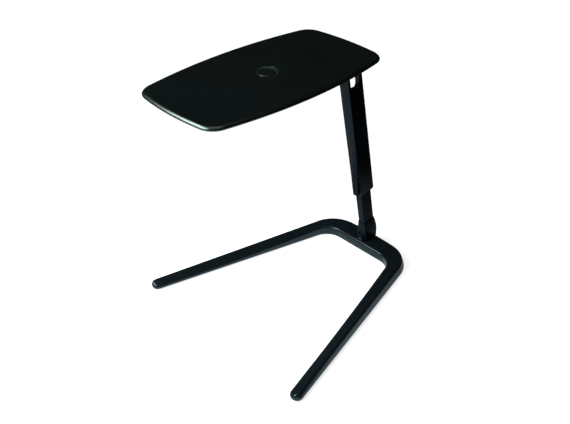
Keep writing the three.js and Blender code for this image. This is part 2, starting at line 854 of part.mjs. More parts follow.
// The arm seen from the rear: as wide as the sleeve, drawn in to its own width.
function armFace() {
  const low = sleeveTopZ - armRoot - overrun;
  const wide = sleeveHalfWidth + overrun;
  const half = armHalfWidth;
  const turn = sleeveTopZ - gap;
  const shape = new THREE.Shape();
  shape.moveTo(-wide, low);
  shape.lineTo(wide, low);
  shape.lineTo(sleeveHalfWidth, turn);
  shape.quadraticCurveTo(half, turn, half, turn + shoulderRise);
  shape.lineTo(half, topHeight);
  shape.lineTo(-half, topHeight);
  shape.lineTo(-half, turn + shoulderRise);
  shape.quadraticCurveTo(-half, turn, -sleeveHalfWidth, turn);
  return shape;
}

// The arm: both outlines in one body, rounded at the rear like the sleeve.
function keeperArm() {
  const wide = sleeveHalfWidth;
  const profile = solidOf(sideways(armSide(), -wide, wide, rimSteps * 2));
  const options = { depth: topLength, bevelEnabled: false, curveSegments: rimSteps };
  const face = new THREE.ExtrudeGeometry(armFace(), options);
  face.rotateX(Math.PI / 2).translate(0, hingeY + topLength / 2, 0);
  const root = heightToAlong(sleeveTopZ, sleeveRear) - armRoot - overrun;
  const reach = heightToAlong(topHeight, 0);
  const round = sleeveBar(wide, 0, [sleeveRear, sleeveRear], sleeveCorner, root, reach);
  return profile.intersect(solidOf(face)).intersect(solidOf(round));
}

function makeSleeve() {
  const high = heightToAlong(sleeveTopZ, sleeveFront) + overrun;
  const body = sleeveBar(
    sleeveHalfWidth,
    sleeveFront,
    [sleeveRearBelow, sleeveRear],
    sleeveCorner,
    sleeveBottom,
    high,
  );
  const cavity = sleeveBar(
    sleeveCavityHalf,
    sleeveCavityFront,
    [sleeveCavityRear, sleeveCavityRear],
    postCorner,
    sleeveBottom - overrun,
    sleeveRoof,
  );
  let sleeve = cutFrom(solidOf(body), slab(sleeveTopZ, topHeight));
  sleeve = cutFrom(joined(sleeve, keeperArm()), solidOf(cavity));
  addPiece("sleeve", sleeve, satinBlack);
  const mouth = sleeveBottom + linerInset;
  addPiece("sleeve_liner", runningRing(mouth, mouth + linerHeight), nylon);
}

function makeCover() {
  const wide = coverHalfWidth - coverLipHalfWidth;
  const deep = coverFront - coverLipFront;
  const rings = coverPlaceShares.map((share, i) => {
    const along = THREE.MathUtils.lerp(coverBottom, headPinAlong, share);
    const half = coverLipHalfWidth + wide * coverWidthShares[i];
    const front = coverFront - deep * coverLipShares[i];
    return columnRing(half, front, coverBack, coverEdge, gap, along);
  });
  const headFoot = heightToAlong(sleeveTopZ, coverBack) + gap;
  const back = coverFront + headPlateThickness;
  const head = [
    columnRing(coverHalfWidth, coverFront, coverBack, coverEdge, gap, headFoot),
    columnRing(coverHalfWidth, coverFront, back, coverEdge, coverEdge, headFoot + headTaper),
    columnRing(coverHalfWidth, coverFront, back, coverEdge, coverEdge, headPinAlong),
  ];
  const half = coverHalfWidth;
  const barrel = crossRod(headKnuckleRadius, -half, half, headPinY, headPinZ, roundSegments);
  const reach = half + overrun;
  const bore = crossRod(pinRadius + gap, -reach, reach, headPinY, headPinZ);
  const slot = new THREE.BoxGeometry(2 * headKnuckleInner, topWidth, 2 * headSlotDepth);
  slot.translate(0, headPinAcross, headPinAlong);
  let cover = joined(solidOf(leaned(loft(rings))), solidOf(leaned(loft(head))), solidOf(barrel));
  cover = cutFrom(cover, solidOf(bore), solidOf(leaned(slot)));
  addPiece("front_cover", cover, satinBlack);
}

function bracketScrewSpots() {
  const rear = headPinY - rearScrewPlace;
  const front = topCentreY + frontScrewPlace;
  return [
    [bracketScrewX, rear],
    [-bracketScrewX, rear],
    [bracketScrewX, front],
    [-bracketScrewX, front],
  ];
}

// A pad of the bracket with rounded corners in plan.
function pad(half, y0, y1, radius) {
  const outline = columnRing(half, y0, y1, radius, radius, 0);
  const plan = outline.map((p) => new THREE.Vector2(p.x, p.y));
  return raised(plan, bracketTop - bracketPlate, bracketTop);
}

function makeBracket() {
  const front = topCentreY - buttonPadFront;
  const rearPad = pad(
    bracketPadHalfWidth,
    headPinY - bracketRearPad,
    bracketEnd,
    bracketCorner,
  );
  const buttonPad = pad(
    bracketPadHalfWidth,
    front,
    topCentreY + buttonPadRear,
    bracketCorner,
  );
  const spine = pad(
    bracketSpineHalfWidth,
    front + bracketCorner,
    bracketEnd - bracketCorner,
    bracketCorner / 2,
  );
  const ribHalf = bracketRibHalfWidth;
  const rib = block(-ribHalf, ribHalf, front + bracketCorner / 2, bracketEnd, bracketBottom, bracketTop);
  const lugs = [1, -1].map((side) => {
    const x0 = side > 0 ? headLugInner : -headLugOuter;
    const x1 = x0 + headLugThickness;
    const eye = crossRod(headLugRadius, x0, x1, headPinY, headPinZ, roundSegments);
    const y0 = headPinY - headLugRadius;
    const web = block(x0, x1, y0, y0 + 2 * headLugRadius, headPinZ, bracketTop - gap);
    return joined(solidOf(eye), solidOf(web));
  });
  const channelHalf = barHalfWidth + gap;
  const channelFront = topCentreY - barFrontEnd - releaseSpringLength - looseGap;
  const channel = block(
    -channelHalf,
    channelHalf,
    channelFront,
    bracketEnd + overrun,
    barBottom - gap,
    barTop + gap,
  );
  const window = block(
    -barWindowHalfWidth,
    barWindowHalfWidth,
    topCentreY - stemFront - gap,
    topCentreY + stemRear + gap,
    bracketBottom - overrun,
    bracketTop + overrun,
  );
  const roomY = headKnuckleRadius + swingGap;
  const pinRoom = block(
    -headLugInner,
    headLugInner,
    headPinY - roomY,
    headPinY + roomY,
    bracketBottom - overrun,
    barBottom - gap,
  );
  const knuckleRoom = [1, -1].map((side) => {
    const inner = headKnuckleInner - looseGap;
    const x0 = side > 0 ? inner : -headLugInner;
    const x1 = side > 0 ? headLugInner : -inner;
    const high = headPinZ + headKnuckleRadius + looseGap;
    const low = bracketBottom - overrun;
    return solidOf(block(x0, x1, headPinY - roomY, headPinY + roomY, low, high));
  });
  const reach = headLugOuter + overrun;
  const bore = crossRod(pinRadius + gap, -reach, reach, headPinY, headPinZ);
  let bracket = joined(solidOf(rearPad), solidOf(buttonPad), solidOf(spine), solidOf(rib));
  bracket = cutFrom(bracket, solidOf(channel), solidOf(window), solidOf(pinRoom));
  bracket = cutFrom(bracket, ...knuckleRoom);
  bracket = cutFrom(joined(bracket, ...lugs), solidOf(bore));
  bracketScrewSpots().forEach(([x, y], i) => {
    const low = bracketTop - bracketPlate;
    const hole = uprightRod(bracketScrewRadius + gap, x, y, low - overrun, bracketTop + overrun);
    bracket = cutFrom(bracket, solidOf(hole));
    const headLow = low - gap - bracketScrewHeadHeight;
    const head = uprightRod(bracketScrewHeadRadius, x, y, headLow, low - gap);
    const shank = uprightRod(bracketScrewRadius, x, y, headLow, low + bracketScrewLength);
    addPiece(`bracket_screw_${i + 1}`, joined(solidOf(head), solidOf(shank)), steel);
  });
  addPiece("top_bracket", bracket, softBlack);
  const end = headLugOuter - pinRecess;
  addPiece("head_pin", solidOf(crossRod(pinRadius, -end, end, headPinY, headPinZ)), steel);
  addWasher("head_washer_right", coverHalfWidth + gap, 1, headPinY, headPinZ);
  addWasher("head_washer_left", coverHalfWidth + gap, -1, headPinY, headPinZ);
}

// A coil along Z from zero to its length, as one unbroken tube.
function coil(radius, wire, length, turns) {
  const points = [];
  const steps = turns * springStepsPerTurn;
  for (let i = 0; i <= steps; i += 1) {
    const angle = (i / springStepsPerTurn) * 2 * Math.PI;
    const z = wire + ((length - 2 * wire) * i) / steps;
    points.push(new THREE.Vector3(radius * Math.cos(angle), radius * Math.sin(angle), z));
  }
  const path = new THREE.CatmullRomCurve3(points);
  const section = [];
  for (let i = 0; i < springSides; i += 1) {
    const angle = (i / springSides) * 2 * Math.PI;
    section.push(new THREE.Vector2(wire * Math.cos(angle), wire * Math.sin(angle)));
  }
  const options = { steps, extrudePath: path, bevelEnabled: false };
  return new THREE.ExtrudeGeometry(new THREE.Shape(section), options);
}

// How far the wedge's face leans forward for each millimetre of height.
const wedgeSlopeShare = barStroke / buttonStroke;
const wedgeLow = barBottom + wedgeToeAboveBar;

function makeReleaseBar() {
  const shape = new THREE.Shape();
  const y = (offset) => topCentreY + offset;
  const end = bracketEnd - gap;
  shape.moveTo(y(-barFrontEnd), barBottom);
  shape.lineTo(end, barBottom);
  shape.lineTo(end, barTop);
  shape.lineTo(y(-barFrontEnd), barTop);
  const bar = sideways(shape, -barHalfWidth, barHalfWidth, 1);
  const face = (z) => y(-wedgeToe - wedgeSlopeShare * (z - wedgeLow) - wedgeSlopeShare * gap);
  const low = barBottom - overrun;
  const high = barTop + overrun;
  const window = new THREE.Shape();
  window.moveTo(face(low), low);
  window.lineTo(y(barWindowRear), low);
  window.lineTo(y(barWindowRear), high);
  window.lineTo(face(high), high);
  const half = barWindowHalfWidth;
  const opening = sideways(window, -half, half, 1);
  addPiece("release_bar", cutFrom(solidOf(bar), solidOf(opening)), steel);
  const spring = coil(
    releaseSpringRadius,
    releaseSpringWire,
    releaseSpringLength,
    releaseSpringTurns,
  );
  spring.rotateX(Math.PI / 2).translate(0, y(-barFrontEnd - gap), (barBottom + barTop) / 2);
  addPiece("release_spring", solidOf(spring), steel);
}

function makeButton() {
  const base = buttonTop - buttonSkirt;
  const lip = base + buttonFlangeHeight;
  const inner = buttonRadius - buttonSkirtWall;
  const edgeBreak = buttonEdge * edgeBreakShare;
  const profile = [
    [0, buttonUnder],
    [inner, buttonUnder],
    [inner, base],
    [buttonFlangeRadius, base],
    [buttonFlangeRadius, lip],
    [buttonRadius, lip],
    [buttonRadius, buttonTop - buttonEdge],
    [buttonRadius - edgeBreak, buttonTop - edgeBreak],
    [buttonRadius - buttonEdge, buttonTop],
    [buttonRadius * dishTurnShare, buttonTop - buttonDish * dishDepthShare],
    [0, buttonTop - buttonDish],
  ];
  const cap = solidOf(turned(profile, 0, topCentreY, buttonSegments));
  const y = (offset) => topCentreY + offset;
  const shape = new THREE.Shape();
  const reach = stemFront - wedgeToe;
  shape.moveTo(y(-wedgeToe), wedgeLow);
  shape.lineTo(y(stemRear), wedgeLow);
  shape.lineTo(y(stemRear), buttonUnder + gap);
  shape.lineTo(y(-stemFront), buttonUnder + gap);
  shape.lineTo(y(-stemFront), wedgeLow + reach / wedgeSlopeShare);
  const stem = solidOf(sideways(shape, -stemHalfWidth, stemHalfWidth, 1));
  addPiece("button", joined(cap, stem), softBlack);
  const length = buttonUnder - bracketTop - looseGap;
  const spring = coil(buttonSpringRadius, buttonSpringWire, length, buttonSpringTurns);
  spring.translate(0, topCentreY, bracketTop + gap);
  addPiece("button_spring", solidOf(spring), steel);
}

function makeButtonRing() {
  const top = topHeight - gap;
  const mouth = buttonRadius + gap;
  const low = topHeight - ringCollarHeight;
  const throat = buttonTop - buttonSkirt + buttonFlangeHeight + gap;
  const inner = ringCollarRadius - ringCollarWall;
  const width = ringRadius - mouth;
  const seat = topHeight - ringFlange;
  const dish = ringInsetShares.map((share, i) => [
    ringRadius - width * share,
    top - ringDish * ringDipShares[i],
  ]);
  const profile = [
    [mouth, top - ringDish],
    [mouth, throat],
    [inner, throat],
    [inner, low],
    [ringCollarRadius, low],
    [ringCollarRadius, seat],
    [ringRadius, seat],
    [ringRadius, top],
    ...dish,
    [mouth, top - ringDish],
  ];
  const ring = turned(profile, 0, topCentreY, buttonSegments);
  addPiece("button_ring", solidOf(ring), satinBlack);
}

makeWorktop();
makeBase();
makeHingePlate();
makeFoot();
makePost();
makeSleeve();
makeCover();
makeBracket();
makeReleaseBar();
makeButton();
makeButtonRing();

export default table;
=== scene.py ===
import math

import bmesh
import bpy
from mathutils import Matrix, Vector


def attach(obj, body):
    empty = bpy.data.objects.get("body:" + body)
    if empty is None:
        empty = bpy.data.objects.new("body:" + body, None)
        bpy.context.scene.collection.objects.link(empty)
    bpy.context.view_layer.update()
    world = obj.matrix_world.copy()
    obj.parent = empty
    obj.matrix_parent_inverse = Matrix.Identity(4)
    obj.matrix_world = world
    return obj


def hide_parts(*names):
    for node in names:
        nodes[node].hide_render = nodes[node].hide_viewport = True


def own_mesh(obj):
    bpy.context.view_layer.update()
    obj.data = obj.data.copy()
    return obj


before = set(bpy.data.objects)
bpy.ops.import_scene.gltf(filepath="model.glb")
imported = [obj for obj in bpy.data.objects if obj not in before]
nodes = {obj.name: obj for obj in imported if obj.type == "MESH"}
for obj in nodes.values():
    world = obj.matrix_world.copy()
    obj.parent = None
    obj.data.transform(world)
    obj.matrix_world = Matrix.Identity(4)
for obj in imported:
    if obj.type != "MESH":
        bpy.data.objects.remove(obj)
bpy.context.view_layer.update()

scene = bpy.context.scene
mm = 0.001
gap = 0.3  # clearance between neighbouring pieces, in mm
over = 2  # how far a cutting tool reaches past the face it opens, in mm
far = 900  # further out than any piece reaches, in mm
near, tiny = 1e-6, 1e-7  # points closer than near are one; no real edge is as short as tiny (in m)
quarter = math.pi / 2
print("frame loaded:", len(nodes), "solids")


def addObject(name, data):
    item = bpy.data.objects.new(name, data)
    scene.collection.objects.link(item)
    return item


# Sets a camera or lamp at a place and turns it towards its aim.
def setFacing(item, place, aim):
    item.location = place
    item.rotation_euler = (Vector(aim) - Vector(place)).to_track_quat("-Z", "Y").to_euler()


# --- camera, at the photograph's angle
cameraView = {
    "eye": (1.18136, -1.15871, 1.44406),
    "target": (0.0106, -0.0360, 0.3092),
    "lens": 47.47,
    "sensor": 36,
}


def makeCamera():
    data = bpy.data.cameras.new("tableCamera")
    data.lens, data.sensor_width = cameraView["lens"], cameraView["sensor"]
    scene.camera = addObject("tableCamera", data)
    setFacing(scene.camera, cameraView["eye"], cameraView["target"])


makeCamera()
print("camera placed")


# --- small helpers for meshes, all in millimetres until meshObject
def lerp(a, b, share):
    return a + (b - a) * share


# Even steps from 0 to 1, both with them.
def evenShares(steps):
    return [i / steps for i in range(steps + 1)]


# The points of an arc, both ends with them.
def arc(x, y, radius, start, end, steps):
    angles = [lerp(start, end, share) for share in evenShares(steps)]
    return [(x + radius * math.cos(angle), y + radius * math.sin(angle)) for angle in angles]


def meshObject(name, points, faces=()):
    mesh = bpy.data.meshes.new(name)
    mesh.from_pydata([Vector(p) * mm for p in points], [], faces)
    return addObject(name, mesh)


# Joins doubled points and turns every face outwards.
def tidyMesh(piece):
    work = bmesh.new()
    work.from_mesh(piece.data)
    bmesh.ops.remove_doubles(work, verts=work.verts, dist=near)
    bmesh.ops.dissolve_degenerate(work, edges=work.edges, dist=tiny)
    bmesh.ops.recalc_face_normals(work, faces=work.faces)
    work.to_mesh(piece.data)
    work.free()
    return piece


# Skins a row of rings with equal counts; the ends are closed unless the row is a loop.
def skinRings(name, rings, loop=False):
    count = len(rings[0])
    points = [p for ring in rings for p in ring]
    faces = []
    rows = len(rings) if loop else len(rings) - 1
    for i in range(rows):
        a, b = i * count, ((i + 1) % len(rings)) * count
        for j in range(count):
            k = (j + 1) % count
            faces.append((a + j, a + k, b + k, b + j))
    if not loop:
        faces.append(tuple(reversed(range(count))))
        faces.append(tuple(range(len(points) - count, len(points))))
    return tidyMesh(meshObject(name, points, faces))


def box(name, low, high):
    (x0, y0, z0), (x1, y1, z1) = low, high
    ring = lambda z: [(x0, y0, z), (x1, y0, z), (x1, y1, z), (x0, y1, z)]
    return skinRings(name, [ring(z0), ring(z1)])


# A round bar along X, Y or Z through a point.
def rod(name, radius, axis, start, end, centre, steps=64):
    circle, at = arc(*centre, radius, 0, 4 * quarter, steps)[:-1], "xyz".index(axis)
    return skinRings(name, [[(*p[:at], place, *p[at:]) for p in circle] for place in (start, end)])


# Bakes the modifiers of a piece into a plain mesh.
def settle(piece):
    graph = bpy.context.evaluated_depsgraph_get()
    mesh = bpy.data.meshes.new_from_object(piece.evaluated_get(graph))
    piece.modifiers.clear()
    old, piece.data = piece.data, mesh
    bpy.data.meshes.remove(old)
    return piece


def combine(piece, others, operation):
    for other in others:
        change = piece.modifiers.new("combine", "BOOLEAN")
        change.object, change.operation, change.solver = other, operation, "EXACT"
    settle(piece)
    for other in others:
        bpy.data.objects.remove(other)
    return tidyMesh(piece)


def cutAway(piece, *others):
    return combine(piece, others, "DIFFERENCE")


def joinWith(piece, *others):
    return combine(piece, others, "UNION")


# Breaks the sharp arrises with a small round.
def easeEdges(piece, width, segments=2, angle=math.radians(40)):
    change = piece.modifiers.new("ease", "BEVEL")
    change.width, change.segments, change.harden_normals = width * mm, segments, False
    change.limit_method, change.angle_limit = "ANGLE", angle
    return settle(piece)


# Marks how tightly each point of a piece is rounded (turn per mm), for the wear in its paint.
def markArrises(piece, full=0.35, narrowest=2e-4):
    work = bmesh.new()
    work.from_mesh(piece.data)
    layer = work.verts.layers.float.new("arris")
    for vert in work.verts:
        tight = 0.0
        for edge in vert.link_edges:
            if len(edge.link_faces) == 2:
                sides = [f.calc_area() / max(edge.calc_length(), tiny) for f in edge.link_faces]
                reach = max(sum(sides) / 2, narrowest)
                tight = max(tight, edge.calc_face_angle(0.0) / (reach / mm))
        vert[layer] = min(tight / full, 1.0)
    work.to_mesh(piece.data)
    work.free()


def paint(piece, material):
    piece.data.materials.clear()
    piece.data.materials.append(material)


def dress(piece, material, body, slotName, *replaced, angle=32):
    paint(piece, material)
    piece.data.polygons.foreach_set("use_smooth", [True] * len(piece.data.polygons))
    piece.data.set_sharp_from_angle(angle=math.radians(angle))
    markArrises(piece)
    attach(piece, body)
    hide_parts(*replaced)
    return piece


# --- finishes, with linear colours and sizes in mm
middle = (0.3, 0.7)  # where nearly all values of a noise lie
satinLook = {
    "deep": (0.0005, 0.0017, 0.0016), "light": (0.0009, 0.0023, 0.0022), "worn": (0.02, 0.027, 0.026),
    "cloudSize": 140, "grainSize": 0.55, "speckScale": 3.1, "peelSize": 2.4, "wearSize": 7,
    "scuffSize": 14, "scuffStretch": (1, 0.12, 1), "dust": 0.12, "wear": 0.35, "scuff": 0.05,
    "dustSpan": (0.56, 0.75), "wearSpan": (0.48, 0.72), "scuffSpan": (0.55, 0.8),
    "roughness": (0.27, 0.31), "specular": 0.5, "tint": (0.86, 1, 0.96),
    "grain": 0.16, "grainDepth": 0.03, "grainShine": 0.02, "peel": 0.05, "peelDepth": 0.05,
}
zincLook = {
    "deep": (0.42, 0.43, 0.44), "light": (0.55, 0.56, 0.57), "cloudSize": 6, "markSize": 0.8,
    "stretch": (0.1, 1, 1), "mark": 0.25, "markDepth": 0.03, "roughness": (0.24, 0.4), "metallic": 1,
}


# Adds a node and gives its outputs; its inputs, by name or number, are values or outputs of others.
def addNode(tree, kind, inputs=None, **settings):
    node = tree.nodes.new(kind)
    for key, value in settings.items():
        setattr(node, key, value)
    for key, value in (inputs or {}).items():
        socket = node.inputs[key]
        if isinstance(value, bpy.types.NodeSocket):
            tree.links.new(value, socket)
        else:
            socket.default_value = value
    return node.outputs


def mathNode(tree, operation, first, second=0.0):
    return addNode(tree, "ShaderNodeMath", {0: first, 1: second}, operation=operation)[0]


def emptyTree(owner):
    owner.use_nodes = True
    owner.node_tree.nodes.clear()
    return owner.node_tree


def coords(tree, stretch=(1, 1, 1)):
    source = addNode(tree, "ShaderNodeTexCoord")["Object"]
    return addNode(tree, "ShaderNodeMapping", {"Vector": source, "Scale": stretch})["Vector"]


# A noise whose grains are size mm wide.
def noise(tree, vector, size, detail=3.0, rough=0.55):
    return addNode(tree, "ShaderNodeTexNoise", {
        "Vector": vector, "Scale": 1 / (size * mm), "Detail": detail, "Roughness": rough})["Fac"]


# Maps a span of a value to a range, and cuts off what lies outside.
def spread(tree, value, span, low, high):
    return addNode(tree, "ShaderNodeMapRange", {
        "Value": value, "From Min": span[0], "From Max": span[1], "To Min": low,
        "To Max": high})["Result"]


def blendColours(tree, share, first, second):
    first, second = ((*c, 1) if isinstance(c, tuple) else c for c in (first, second))
    return addNode(tree, "ShaderNodeMix", {0: share, 6: first, 7: second}, data_type="RGBA")[2]


def bump(tree, height, strength, depth, **below):
    return addNode(tree, "ShaderNodeBump", {
        "Height": height, "Strength": strength, "Distance": depth * mm, **below})["Normal"]


def setSurface(tree, inputs):
    shader = addNode(tree, "ShaderNodeBsdfPrincipled", inputs)
    addNode(tree, "ShaderNodeOutputMaterial", {"Surface": shader["BSDF"]})


# A satin moulding or paint: cloudy tone, fine grain, a few rubbed arrises and light scuffs.
def satinMaterial(name, **changes):
    look, material = {**satinLook, **changes}, bpy.data.materials.new(name)
    tree = emptyTree(material)
    vector = coords(tree)
    cloud = noise(tree, vector, look["cloudSize"], 2.0)
    grain = noise(tree, vector, look["grainSize"], 4.0, 0.6)
    speck = noise(tree, vector, look["grainSize"] * look["speckScale"], 2.0)
    wear = noise(tree, vector, look["wearSize"], 4.0, 0.7)
    scuffs = noise(tree, coords(tree, look["scuffStretch"]), look["scuffSize"], 5.0, 0.65)
    peel = noise(tree, vector, look["peelSize"], 2.0)
    tone = blendColours(tree, spread(tree, cloud, middle, 0, 1), look["deep"], look["light"])
    dust = spread(tree, speck, look["dustSpan"], 0, look["dust"])
    tone = blendColours(tree, dust, tone, look["worn"])
    arris = addNode(tree, "ShaderNodeAttribute", attribute_name="arris")["Fac"]
    rubbed = mathNode(tree, "MULTIPLY", spread(tree, wear, look["wearSpan"], 0, look["wear"]), arris)
    tone = blendColours(tree, rubbed, tone, look["worn"])
    rough = spread(tree, cloud, middle, *look["roughness"])
    rough = mathNode(tree, "ADD", rough, spread(tree, scuffs, look["scuffSpan"], 0, look["scuff"]))
    fine = spread(tree, grain, middle, -look["grainShine"], look["grainShine"])
    normal = bump(tree, peel, look["peel"], look["peelDepth"])
    setSurface(tree, {
        "Base Color": tone, "Roughness": mathNode(tree, "ADD", rough, fine),
        "Normal": bump(tree, grain, look["grain"], look["grainDepth"], Normal=normal),
        "Specular IOR Level": look["specular"], "Specular Tint": (*look["tint"], 1)})
    return material


# A plated or turned metal with fine marks along one direction.
def metalMaterial(name, **changes):
    look, material = {**zincLook, **changes}, bpy.data.materials.new(name)
    tree = emptyTree(material)
    marks = noise(tree, coords(tree, look["stretch"]), look["markSize"], 5.0, 0.6)
    cloud = noise(tree, coords(tree), look["cloudSize"])
    setSurface(tree, {
        "Base Color": blendColours(tree, spread(tree, cloud, middle, 0, 1), look["deep"], look["light"]),
        "Roughness": spread(tree, marks, middle, *look["roughness"]), "Metallic": look["metallic"],
        "Normal": bump(tree, marks, look["mark"], look["markDepth"])})
    return material


boardSatin = satinMaterial("boardSatin", specular=0.72, peel=0.03)
ringSatin = satinMaterial(
    "ringSatin", deep=(0.0045, 0.0075, 0.007), light=(0.006, 0.0095, 0.009), roughness=(0.2, 0.26),
    grainSize=0.4)
buttonSatin = satinMaterial(
    "buttonSatin", deep=(0.001, 0.0028, 0.0026), light=(0.0015, 0.0036, 0.0033), roughness=(0.3, 0.36),
    grainSize=0.45, specular=0.35)
columnPaint = satinMaterial(
    "columnPaint", deep=(0.0018, 0.0034, 0.0068), light=(0.0026, 0.0046, 0.0088), roughness=(0.25, 0.31),
    specular=0.055, tint=(0.46, 0.8, 1), scuffStretch=(1, 1, 0.1), grain=0.3, grainDepth=0.05,
    peel=0.12, peelDepth=0.08)
basePaint = satinMaterial(
    "basePaint", deep=(0.0046, 0.0068, 0.0088), light=(0.006, 0.0088, 0.0112), roughness=(0.17, 0.23),
    specular=0.34, tint=(0.62, 0.88, 1), cloudSize=110, grain=0.12, peel=0.16, peelDepth=0.07, wear=0.5)
bracketPaint = satinMaterial(
    "bracketPaint", deep=(0.008, 0.009, 0.009), light=(0.012, 0.013, 0.013), roughness=(0.5, 0.6),
    grain=0.4, grainDepth=0.08, wear=0.6)
nylonBlack = satinMaterial(
    "nylonBlack", deep=(0.016, 0.016, 0.016), light=(0.024, 0.024, 0.024), roughness=(0.5, 0.62), grain=0.2)
glideRubber = satinMaterial(
    "glideRubber", deep=(0.01, 0.01, 0.01), light=(0.018, 0.018, 0.018), roughness=(0.75, 0.88),
    grain=0.5, grainDepth=0.1, specular=0.3)
zincPlate = metalMaterial("zincPlate")
barSteel = metalMaterial("barSteel", stretch=(1, 0.06, 1), markSize=0.6)
print("finishes mixed")


# --- worktop
board = {
    "top": 720, "thickness": 15, "length": 558, "width": 311, "centreY": -85.7,
    "longBow": 31.5, "shortBow": 18, "cornerRadius": 46, "topEdge": 6, "edgeCurl": 1.45,
    "underInset": 18, "underRise": 8.9, "bore": 24, "seatRadius": 29.7, "seatDepth": 4.1,
    "seatLip": 0.3, "lipPoints": ((0, 1), (1 / 3, 0.3), (1, 0)), "edgeSteps": 10,
    "topShares": (0.06, 0.2, 0.45, 0.75, 0.95), "underShares": (0.05, 0.3, 0.6, 0.85),
}


# The four bowed sides and round corners, drawn in by an inset.
def bowedOutline(inset, steps=(64, 26, 36), tries=40):
    halfLength, halfWidth = board["length"] / 2, board["width"] / 2
    longBow, shortBow, corner = board["longBow"], board["shortBow"], board["cornerRadius"]
    longRadius = (halfLength ** 2 + longBow ** 2) / (2 * longBow)
    shortRadius = (halfWidth ** 2 + shortBow ** 2) / (2 * shortBow)
    longCentre, shortCentre = halfWidth - longRadius, halfLength - shortRadius
    innerLong, innerShort = longRadius - corner, shortRadius - corner
    x, y = halfWidth - corner, halfLength - corner
    for _ in range(tries):
        x = longCentre + math.sqrt(innerLong ** 2 - y ** 2)
        y = shortCentre + math.sqrt(innerShort ** 2 - x ** 2)
    longAngle, shortAngle = math.asin(y / innerLong), math.asin(x / innerShort)
    longSteps, cornerSteps, shortSteps = steps
    runs = [
        (longCentre, 0, longRadius, -longAngle, longAngle, longSteps),
        (x, y, corner, longAngle, quarter - shortAngle, cornerSteps),
        (0, shortCentre, shortRadius, quarter - shortAngle, quarter + shortAngle, shortSteps),
        (-x, y, corner, quarter + shortAngle, 2 * quarter - longAngle, cornerSteps),
    ]
    runs += [(-cx, -cy, radius, start + 2 * quarter, end + 2 * quarter, count)
             for cx, cy, radius, start, end, count in runs]
    points = []
    for cx, cy, radius, start, end, count in runs:
        points += arc(cx, cy + board["centreY"], radius - inset, start, end, count)[:-1]
    return points


def makeBoard():
    b = board
    top, under, seat, lip = b["top"], b["top"] - b["thickness"], b["top"] - b["seatDepth"], b["seatLip"]
    edge, curl, inset, rise = b["topEdge"], b["edgeCurl"], b["underInset"], b["underRise"]
    angles = [math.atan2(y - b["centreY"], x) for x, y in bowedOutline(0)]
    circle = lambda radius, z: [
        (radius * math.cos(a), b["centreY"] + radius * math.sin(a), z) for a in angles]
    rim = lambda inset, z: [(x, y, z) for x, y in bowedOutline(inset)]

    def between(outer, inner, shares):
        return [[Vector(p).lerp(Vector(q), share) for p, q in zip(outer, inner)] for share in shares]

    rings = [circle(b["bore"], under), circle(b["bore"], seat), circle(b["seatRadius"], seat)]
    rings += [circle(b["seatRadius"] + lip * out, top - lip * down) for out, down in b["lipPoints"]]
    rings += between(rings[-1], rim(edge, top), b["topShares"])
    turns = [quarter * share for share in evenShares(b["edgeSteps"])]
    rings += [rim(edge * (1 - math.sin(turn) ** curl), top - edge * (1 - math.cos(turn) ** curl))
              for turn in turns]
    rings += [rim(inset * (1 - math.cos(turn)), under + rise * (1 - math.sin(turn))) for turn in turns]
    rings += between(rim(inset, under), rings[0], b["underShares"])
    piece = skinRings("worktopBoard", rings, loop=True)
    return dress(piece, boardSatin, "top", "worktop", "worktop", angle=50)


makeBoard()
print("worktop made")


# --- base casting
base = {
    "innerCorner": (125, 292), "innerRadius": 54, "outerCorner": (154, 361.5), "outerRadius": 98.6,
    "rearBow": 2.6, "tip": (290, -263), "tipWidth": 36, "barHeight": 34.3, "innerTipHeight": 17,
    "innerSag": 4.2, "outerTipHeight": 24, "ridgeAtBar": 5.8, "ridgeAtTip": 3.5, "softness": 8.8,
    "floorClearance": 1, "creaseEnd": 0.12, "cornerCrease": 0.55, "tipClose": 0.97,
    "barSteps": 12, "arcSteps": 26, "legSteps": 44, "tipSteps": 20, "sectionSteps": 8,
}
glide = {
    "height": 3.2, "tipRadius": 8, "rearRadius": 12, "rear": (131, 322), "chamfer": 0.5, "segments": 72,
}
hinge = {
    "y": 302.5, "z": 43, "plateHalfWidth": 14, "plateThickness": 4, "plateRear": 50, "plateFront": 3.5,
    "screws": (19, 38), "screwRadius": 3, "screwHeadRadius": 5, "screwHeadZ": 18, "screwHeadHeight": 4,
}


# Half of a plan line of the base: crossbar, round corner, straight leg.
def halfLine(corner, end, radius, bow):
    corner, end = Vector(corner), Vector(end)
    along, inward = (end - corner).normalized(), Vector((-1, 0))
    angle = math.acos(along.dot(inward))
    reach = radius / math.tan(angle / 2)
    start, finish = corner + inward * reach, corner + along * reach
    centre = corner + (along + inward).normalized() * radius / math.sin(angle / 2)
    turnFrom = math.atan2(start.y - centre.y, start.x - centre.x)
    turnTo = math.atan2(finish.y - centre.y, finish.x - centre.x)
    points = []
    for share in evenShares(base["barSteps"])[:-1]:
        points.append(Vector((start.x * share, corner.y + bow * (1 - share ** 2))))
    points += [Vector(p) for p in arc(*centre, radius, turnFrom, turnTo, base["arcSteps"])]
    return points + [finish.lerp(end, share) for share in evenShares(base["legSteps"])[1:]]


